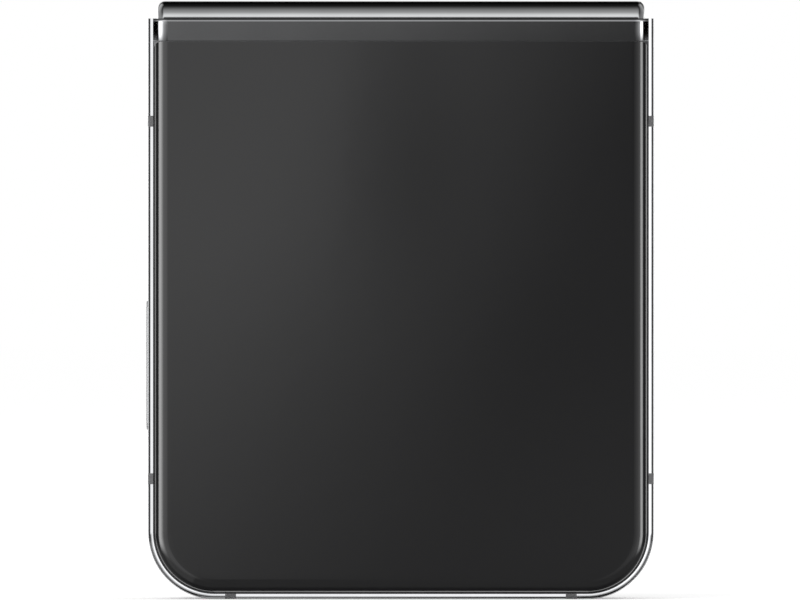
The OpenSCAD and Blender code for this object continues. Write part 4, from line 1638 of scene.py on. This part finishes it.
@dataclass
class FoldingScreen:
    """The folding screen in its three parts, and the soft bezels round it."""

    sizes: PhoneSizes
    palette: Palette
    bezel_inset: float = 0.7
    bezel_w: float = 1.6
    bezel_rise: float = 0.6
    film_t: float = 0.15
    lens_r: float = 1.7
    lens_z: float = 6.4

    def build(self) -> None:
        """Builds the panels, the bezels, the bend and the front camera's lens."""
        for side in Side:
            self.panel(side)
            self.bezel(side)
        self.bend()
        self.front_lens()

    def panel(self, side: Side) -> None:
        """The stiff part of the screen on one half, with the film that runs on into the bend."""
        s = self.sizes
        bend_x = s.side_x - s.corner_r
        corner = s.corner_r - (s.side_x - s.screen_x)
        outline = [
            *arc((-bend_x, s.corner_r), corner, 180, 270, 20),
            *arc((bend_x, s.corner_r), corner, 270, 360, 20),
            (s.screen_x, s.screen_top),
            (-s.screen_x, s.screen_top),
        ]
        panel = Form.through(outline, 0, s.screen_t)
        film_top = s.axis_z + s.axis_y - s.gap / 2 - s.screen_t
        film = Form.box((-s.screen_x, 0, s.screen_top - 0.5), (s.screen_x, self.film_t, film_top))
        panel.joined(film)
        if side is Side.UPPER:
            hole = [(0, -1), (self.lens_r, -1), (self.lens_r, 2), (0, 2)]
            panel.cut(Form.turned(hole, 0, self.lens_z))
        black = self.palette["screen_black"]
        made = panel.piece(f"{side.word}_screen_looks", side, side.body, "screen_black", black)
        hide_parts(f"{side.word}_screen")

    def bezel(self, side: Side) -> None:
        """The soft bezel, round on its outer edges."""
        s = self.sizes
        rise, width, inset = self.bezel_rise, self.bezel_w, self.bezel_inset
        outline = [
            (inset, 0.0),
            *arc((inset + 0.25, -rise + 0.25), 0.25, 180, 270, 5),
            *arc((inset + width - 0.35, -rise + 0.35), 0.35, 270, 360, 6),
            (inset + width, 0.0),
        ]
        top = s.axis_z + 0.3
        form = Form.swept(outline, s, top)
        form.softened(0.22, 4, lambda m: m.z > top - 0.01 and m.y < -0.01)
        if side is Side.UPPER:
            notch = rounded_box((-4, inset - 1), (4, inset + 0.3), 0.1)
            form.cut(Form.through(notch, -1, 1))
        rubber = self.palette["bezel_rubber"]
        made = form.piece(f"{side.word}_bezel_looks", side, side.body, "bezel_rubber", rubber)
        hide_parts(f"{side.word}_bezel")

    def bend(self) -> None:
        """The bend of the screen, which flattens between the halves as they open."""
        s = self.sizes
        inner = s.gap / 2
        middle = (0.0, s.screen_top)
        outline = arc(middle, inner + s.screen_t, 0, 180, 32) + arc(middle, inner, 180, 0, 32)
        form = Form.along_x(outline, -s.screen_x, s.screen_x)
        black = self.palette["screen_black"]
        made = form.piece("screen_bend_looks", None, "spine", "screen_black", black)
        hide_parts("screen_bend")
        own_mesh(made)

    def front_lens(self) -> None:
        """The front camera's lens, in its hole in the upper half's screen."""
        r = self.lens_r - 0.15
        rim = [(0, 0.9), (r, 0.9), (r, 0.18), (r - 0.08, 0.1)]
        pupil = [(0.95, 0.1), (0.85, 0.28), (0.5, 0.2), (0.0, 0.17)]
        form = Form.turned(rim + pupil, 0, self.lens_z, 40)
        form.piece("front_lens", Side.UPPER, "upper_half", "lens_glass", self.palette["lens_glass"])


# ---- Spine ----


@dataclass
class Spine:
    """The hinge's cover, whose ends are rounded all round."""

    sizes: PhoneSizes
    palette: Palette
    end_r: float = 1.1
    slot_r: float = 1.2
    steps: int = 8

    def build(self) -> None:
        """Builds the cover's shell and cuts the slot for the bend of the screen."""
        s = self.sizes
        shell = self.loaf(0.0, s.spine_x, self.end_r, s.axis_z)
        shell.cut(self.loaf(s.spine_wall, s.spine_x - s.spine_wall, 0.5, s.axis_z - 1))
        slot = [
            (-self.slot_r, s.axis_z - 2),
            (self.slot_r, s.axis_z - 2),
            *arc((0, s.screen_top), self.slot_r, 0, 180, 16),
        ]
        shell.cut(Form.along_x(slot, -s.side_x, s.side_x))
        shell.softened(0.08, 2, lambda m: m.z < s.axis_z + 0.02)
        metal = self.palette["spine_metal"]
        made = shell.piece("hinge_cover_looks", None, "spine", "spine_metal", metal)
        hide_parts("hinge_cover")

    def loaf(self, inset: float, half_l: float, end_r: float, low: float) -> Form:
        """A long form with the cover's section, which rounds off towards both ends.

        Args:
            inset: Distance in from the cover's outer face.
            half_l: Half its length.
            end_r: Radius of its ends' rounding.
            low: Height of its flat underside.

        Returns:
            The closed form.
        """
        turns = [math.radians(90 * i / self.steps) for i in range(self.steps + 1)]
        ends = [(half_l - end_r * (1 - math.sin(a)), end_r * (1 - math.cos(a))) for a in turns]
        stations = [(-x, shrink) for x, shrink in ends[::-1]] + ends
        return Form.lofted(
            [(x, y, z) for y, z in self.section(inset + shrink, low)] for x, shrink in stations
        )

    def section(self, inset: float, low: float) -> list[Point]:
        """Section of the cover: a quarter round on each axis, joined by a flat top."""
        s = self.sizes
        radius = s.spine_r - inset
        right = arc((s.axis_y, s.axis_z), radius, 0, 90, 20)
        left = arc((-s.axis_y, s.axis_z), radius, 90, 180, 20)
        return [(right[0][0], low - 0.0001), *right, *left, (left[-1][0], low - 0.0001)]


# ---- Cameras ----


@dataclass
class Cameras:
    """The two rear cameras and the flash in the cover glass."""

    sizes: PhoneSizes
    palette: Palette
    ring_r: float = 6.0
    ring_in_r: float = 5.0
    rise: float = 0.8
    barrel_r: float = 5.5
    housing_w: float = 9.6
    bay_t: float = 1.35
    seat_t: float = 5.4
    flash_r: float = 2.1

    def build(self) -> None:
        """Builds the rings, windows, barrels and lenses, and the flash."""
        s = self.sizes
        top = s.half_t + self.rise
        ring = [
            (self.barrel_r, s.glass_back),
            (self.barrel_r, s.half_t + 0.02),
            (self.ring_r, s.half_t + 0.02),
            *arc((self.ring_r - 0.2, top - 0.2), 0.2, 0, 90, 5),
            (self.ring_in_r + 0.22, top),
            (self.ring_in_r, top - 0.14),
            (self.ring_in_r, s.half_t + 0.1),
            (self.ring_in_r - 0.5, s.half_t + 0.1),
            (self.ring_in_r - 0.5, s.glass_back),
        ]
        window_r = self.ring_in_r - 0.01
        window = [
            (0.0, s.half_t + 0.1),
            (window_r, s.half_t + 0.1),
            *arc((window_r - 0.08, s.half_t + 0.52), 0.08, 0, 90, 3),
            (0.0, s.half_t + 0.6),
        ]
        self._both(ring, "camera_rings", "frame_metal", "frame_metal")
        self._both(window, "camera_windows", "lens_glass", "window_glass")
        self.barrels()
        self.flash()

    def _both(self, outline: Sequence[Point], node: str, slot: str, look: str) -> None:
        """Spins an outline at both cameras, as one piece that stands for a CAD node."""
        s = self.sizes
        form = Form().with_loose(*[Form.turned(outline, x, s.camera_z, 96) for x in s.camera_xs])
        made = form.piece(f"{node}_looks", Side.UPPER, "upper_half", slot, self.palette[look])
        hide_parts(node)

    def barrels(self) -> None:
        """The camera housings, their stepped baffles and the front lenses."""
        s = self.sizes
        half = self.housing_w / 2
        face = s.half_t - 0.02
        baffle = [
            (0.0, self.seat_t - 0.6),
            (4.4, self.seat_t - 0.6),
            (4.4, face),
            (4.1, face),
            (4.0, face - 0.25),
            (3.5, face - 0.25),
            (3.4, face - 0.5),
            (2.9, face - 0.5),
            (2.8, face - 0.7),
            (2.3, face - 0.75),
            (0.0, face - 0.75),
        ]
        housings = Form()
        for x in s.camera_xs:
            box = Form.box(
                (x - half, self.bay_t, s.camera_z - half),
                (x + half, self.seat_t - 0.4, s.camera_z + half),
            )
            housings.with_loose(box.softened(0.3, 2).joined(Form.turned(baffle, x, s.camera_z, 72)))
        black = self.palette["barrel_black"]
        made = housings.piece(
            "camera_barrels_looks", Side.UPPER, "upper_half", "dark_plastic", black
        )
        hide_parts("rear_cameras")
        dome = [(0.0, face - 0.8), (2.25, face - 0.8), *arc((0, face - 5.2), 4.95, 63, 90, 9)]
        lenses = Form().with_loose(*[Form.turned(dome, x, s.camera_z, 64) for x in s.camera_xs])
        glass = self.palette["lens_glass"]
        lenses.piece("camera_lenses", Side.UPPER, "upper_half", "lens_glass", glass)

    def flash(self) -> None:
        """The flash lens, with fine rings moulded into its face."""
        s = self.sizes
        r, face = self.flash_r, s.half_t
        rings = 7
        step = (r - 0.35) / rings
        outline: list[Point] = [
            (0.0, face - 0.6),
            (r, face - 0.6),
            (r, face - 0.04),
            (r - 0.04, face),
            (r - 0.3, face),
        ]
        for i in range(rings):
            outer = r - 0.35 - i * step
            outline += [(outer, face - 0.12), (outer - step * 0.75, face - 0.02)]
        outline.append((0.0, face - 0.03))
        form = Form.turned(outline, s.flash_x, s.camera_z, 56)
        white = self.palette["flash_plastic"]
        made = form.piece("flash_lens_looks", Side.UPPER, "upper_half", "flash_plastic", white)
        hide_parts("flash_lens")


# ---- Studio ----


@dataclass(frozen=True)
class Aim:
    """A direction in the room, in the measures that its lights are placed by.

    Angles are in degrees. across is the turn from the phone's facing direction to either side,
    up the height, off_axis the whole angle from that direction, and over the climb from the
    front over the top to the back. The slopes are what x and z gain over the depth.
    """

    x: Link
    across: Link
    up: Link
    off_axis: Link
    over: Link
    slope_x: Link
    slope_z: Link


@dataclass
class Studio:
    """The camera, the floor, the lamps and the white room with its strip lights."""

    scale_px: float = 7.038
    centre_px: float = 400.9
    floor_px: float = 599.1
    image: tuple[int, int] = (800, 600)
    distance: float = 2.4
    face_y: float = -0.0069
    sensor: float = 36.0

    def build(self) -> None:
        """Builds everything round the phone."""
        self.camera()
        self.floor()
        self.lamps()
        self.room()

    def camera(self) -> None:
        """Places the camera square to the plain back, at the photograph's scale."""
        width, height = self.image
        lens = bpy.data.cameras.new("camera")
        lens.type = "PERSP"
        lens.sensor_width = self.sensor
        lens.lens = self.scale_px / MM * self.sensor * (self.distance + self.face_y) / width
        lens.dof.use_dof = False
        lens.clip_start, lens.clip_end = 0.05, 50
        eye = bpy.data.objects.new("camera", lens)
        mm_px = MM / self.scale_px
        eye.location = (
            (width / 2 - self.centre_px) * mm_px,
            -self.distance,
            (self.floor_px - height / 2) * mm_px,
        )
        eye.rotation_euler = (math.pi / 2, 0, 0)
        bpy.context.scene.collection.objects.link(eye)
        bpy.context.scene.camera = eye

    def floor(self) -> None:
        """A pale floor that glossy surfaces don't see, and that glows a little to the camera."""
        bm = bmesh.new()
        bmesh.ops.create_grid(bm, x_segments=1, y_segments=1, size=12)
        mesh = bpy.data.meshes.new("floor")
        bm.to_mesh(mesh)
        bm.free()
        floor = bpy.data.objects.new("floor", mesh)
        bpy.context.scene.collection.objects.link(floor)
        material = bpy.data.materials.new("floor")
        material.use_nodes = True
        graph = Graph(material.node_tree)
        seen = graph.out("ShaderNodeLightPath", "Is Camera Ray")
        shader = graph.node(
            "ShaderNodeBsdfPrincipled",
            inputs={
                "Base Color": with_alpha(grey(0.82)),
                "Roughness": 0.9,
                "Specular IOR Level": 0.0,
                "Emission Color": seen * 0.3,
                "Emission Strength": 1.0,
            },
        )
        end = graph.node("ShaderNodeOutputMaterial")
        graph.tree.links.new(shader.outputs[0], end.inputs[0])
        mesh.materials.append(material)
        floor.visible_glossy = False

    def lamps(self) -> None:
        """Two large soft lamps that only light what is matt."""
        rows = (("key", (-0.9, -1.0, 1.3), 1.2, 9.0), ("fill", (1.1, 0.9, 1.0), 1.2, 5.0))
        for name, place, size, power in rows:
            light = bpy.data.lights.new(name, "AREA")
            light.size = size
            light.energy = power
            lamp = bpy.data.objects.new(name, light)
            lamp.location = place
            lamp.rotation_euler = (Vector(place) * -1).to_track_quat("-Z", "Y").to_euler()
            lamp.visible_glossy = False
            lamp.visible_camera = False
            bpy.context.scene.collection.objects.link(lamp)

    def room(self) -> None:
        """The room: white to the camera, and softboxes and strips to what is glossy."""
        world = bpy.data.worlds.new("room")
        bpy.context.scene.world = world
        world.use_nodes = True
        world.cycles.sampling_method = "NONE"
        graph = Graph(world.node_tree)
        path = graph.node("ShaderNodeLightPath")
        through_glass = Link(graph, path.outputs["Is Transmission Ray"])
        seen = Link(graph, path.outputs["Is Camera Ray"]) + through_glass
        seen = seen.call("MINIMUM", 1.0)
        glossy = Link(graph, path.outputs["Is Glossy Ray"])
        strength = seen + (1 - seen) * (glossy * self.reflections(graph) + (1 - glossy) * 0.85)
        inputs = {"Color": (1, 1, 1, 1), "Strength": strength}
        back = graph.node("ShaderNodeBackground", inputs=inputs)
        end = graph.node("ShaderNodeOutputWorld")
        graph.tree.links.new(back.outputs[0], end.inputs[0])

    def reflections(self, graph: Graph) -> Link:
        """Brightness of the room by direction, for glossy surfaces.

        Args:
            graph: The world's nodes.

        Returns:
            The brightness, where 1 is white.
        """
        degrees = 180 / math.pi
        x, y, z = graph.parts(graph.out("ShaderNodeTexCoord", "Generated"))
        depth = abs(y).call("MAXIMUM", 1e-5)
        aim = Aim(
            x=x,
            across=abs(x).call("ARCTAN2", depth) * degrees,
            up=z.call("ARCSINE") * degrees,
            off_axis=depth.call("ARCCOSINE") * degrees,
            over=z.call("ARCTAN2", 0 - y) * degrees,
            slope_x=x / depth,
            slope_z=z / depth,
        )
        ahead = self.glow(aim) + self.strips(aim) + self.ring(aim)
        return ahead + self.overhead(aim) + self.walls(aim)

    def glow(self, aim: Aim) -> Link:
        """The soft glow straight ahead, brightest at the upper left, with one slanting edge."""
        lean = aim.slope_x - aim.slope_z * 0.45
        soft = 0.05 + 0.55 * lean.rise(0.011, -0.006) + 0.45 * lean.rise(0.0, -0.013)
        soft = soft * (0.4 + 0.6 * aim.slope_z.rise(-0.02, 0.006))
        edge = (aim.slope_x - aim.slope_z * 0.117 + 0.004).rise(-0.0004, 0.0004)
        edge = edge * aim.slope_x.rise(0.005, 0.0005) * aim.slope_z.rise(-0.003, 0.01)
        low = 0.06 * aim.slope_z.rise(0.012, 0.002) + 0.12 * aim.slope_z.rise(0.0, -0.015)
        return (soft - 0.3 * edge + low) * aim.off_axis.rise(31, 24)

    def strips(self, aim: Aim) -> Link:
        """The tall strip lights at the left and the right."""
        across = aim.across
        left = 0.55 * across.rise(1, 4.2) + 0.3 * across.rise(5, 11)
        left = left + 7.8 * across.rise(12.7, 26.7)
        left = left * across.rise(31.5, 28.2) * aim.x.rise(0.01, -0.01)
        right = 0.22 * across.rise(0.8, 3.2) + 0.25 * across.rise(4, 10)
        right = right + 0.5 * across.rise(10, 17) + 6.7 * across.rise(18.5, 24.2)
        right = right * across.rise(30.8, 26.6) * aim.x.rise(-0.01, 0.01)
        return (left + right) * abs(aim.up).rise(12, 4)

    def ring(self, aim: Aim) -> Link:
        """The ring of light that the polished facets show, a little brighter at the right."""
        band = aim.off_axis.rise(49, 51.5) * aim.off_axis.rise(59.5, 56)
        return (4.5 + 1.5 * aim.x.rise(0.3, 0.6)) * band * aim.up.rise(24, 12)

    def overhead(self, aim: Aim) -> Link:
        """The softbox overhead, whose light thins out towards the back, and a dim one below."""
        light = 1.75 * aim.over.rise(80, 61) + 1.5 * aim.over.rise(114, 69)
        light = light + 0.05 * aim.over.rise(140, 105)
        light = light * aim.over.rise(53.2, 59.2) * abs(aim.x).rise(0.55, 0.2)
        below = aim.up.rise(-70, -80) * (0.15 + 1.4 * aim.x.rise(0.01, -0.011))
        return light + below

    def walls(self, aim: Aim) -> Link:
        """The dim walls at both sides, and large soft panels that only slanting views show."""
        level = 0.32 * aim.across.rise(62, 84) * abs(aim.up).rise(60, 15)
        panels = aim.across.rise(13, 30) * abs(aim.up).rise(5, 13) * abs(aim.up).rise(66, 42)
        panels = panels * (0.3 + 0.7 * aim.off_axis.rise(35, 41))
        shade = 0.35 + 0.35 * aim.up.rise(-30, 20) + 0.35 * aim.across.rise(75, 35)
        return level + panels * shade * (1.0 + 0.35 * aim.x.rise(0.4, -0.4))


def main() -> None:
    """Builds the phone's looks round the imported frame."""
    logging.basicConfig(level=logging.INFO, format="%(name)s: %(message)s")
    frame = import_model()
    bpy.context.scene.view_settings.view_transform = "Standard"
    sizes = PhoneSizes.from_frame()
    Form.half_gap = sizes.gap / 2
    palette = Palette(sizes)
    palette.dress_nodes(frame)
    Studio().build()
    LowerShell(sizes, palette, Side.LOWER).build()
    UpperShell(sizes, palette, Side.UPPER).build()
    FoldingScreen(sizes, palette).build()
    Spine(sizes, palette).build()
    Cameras(sizes, palette).build()


if __name__ == "__main__":
    main()
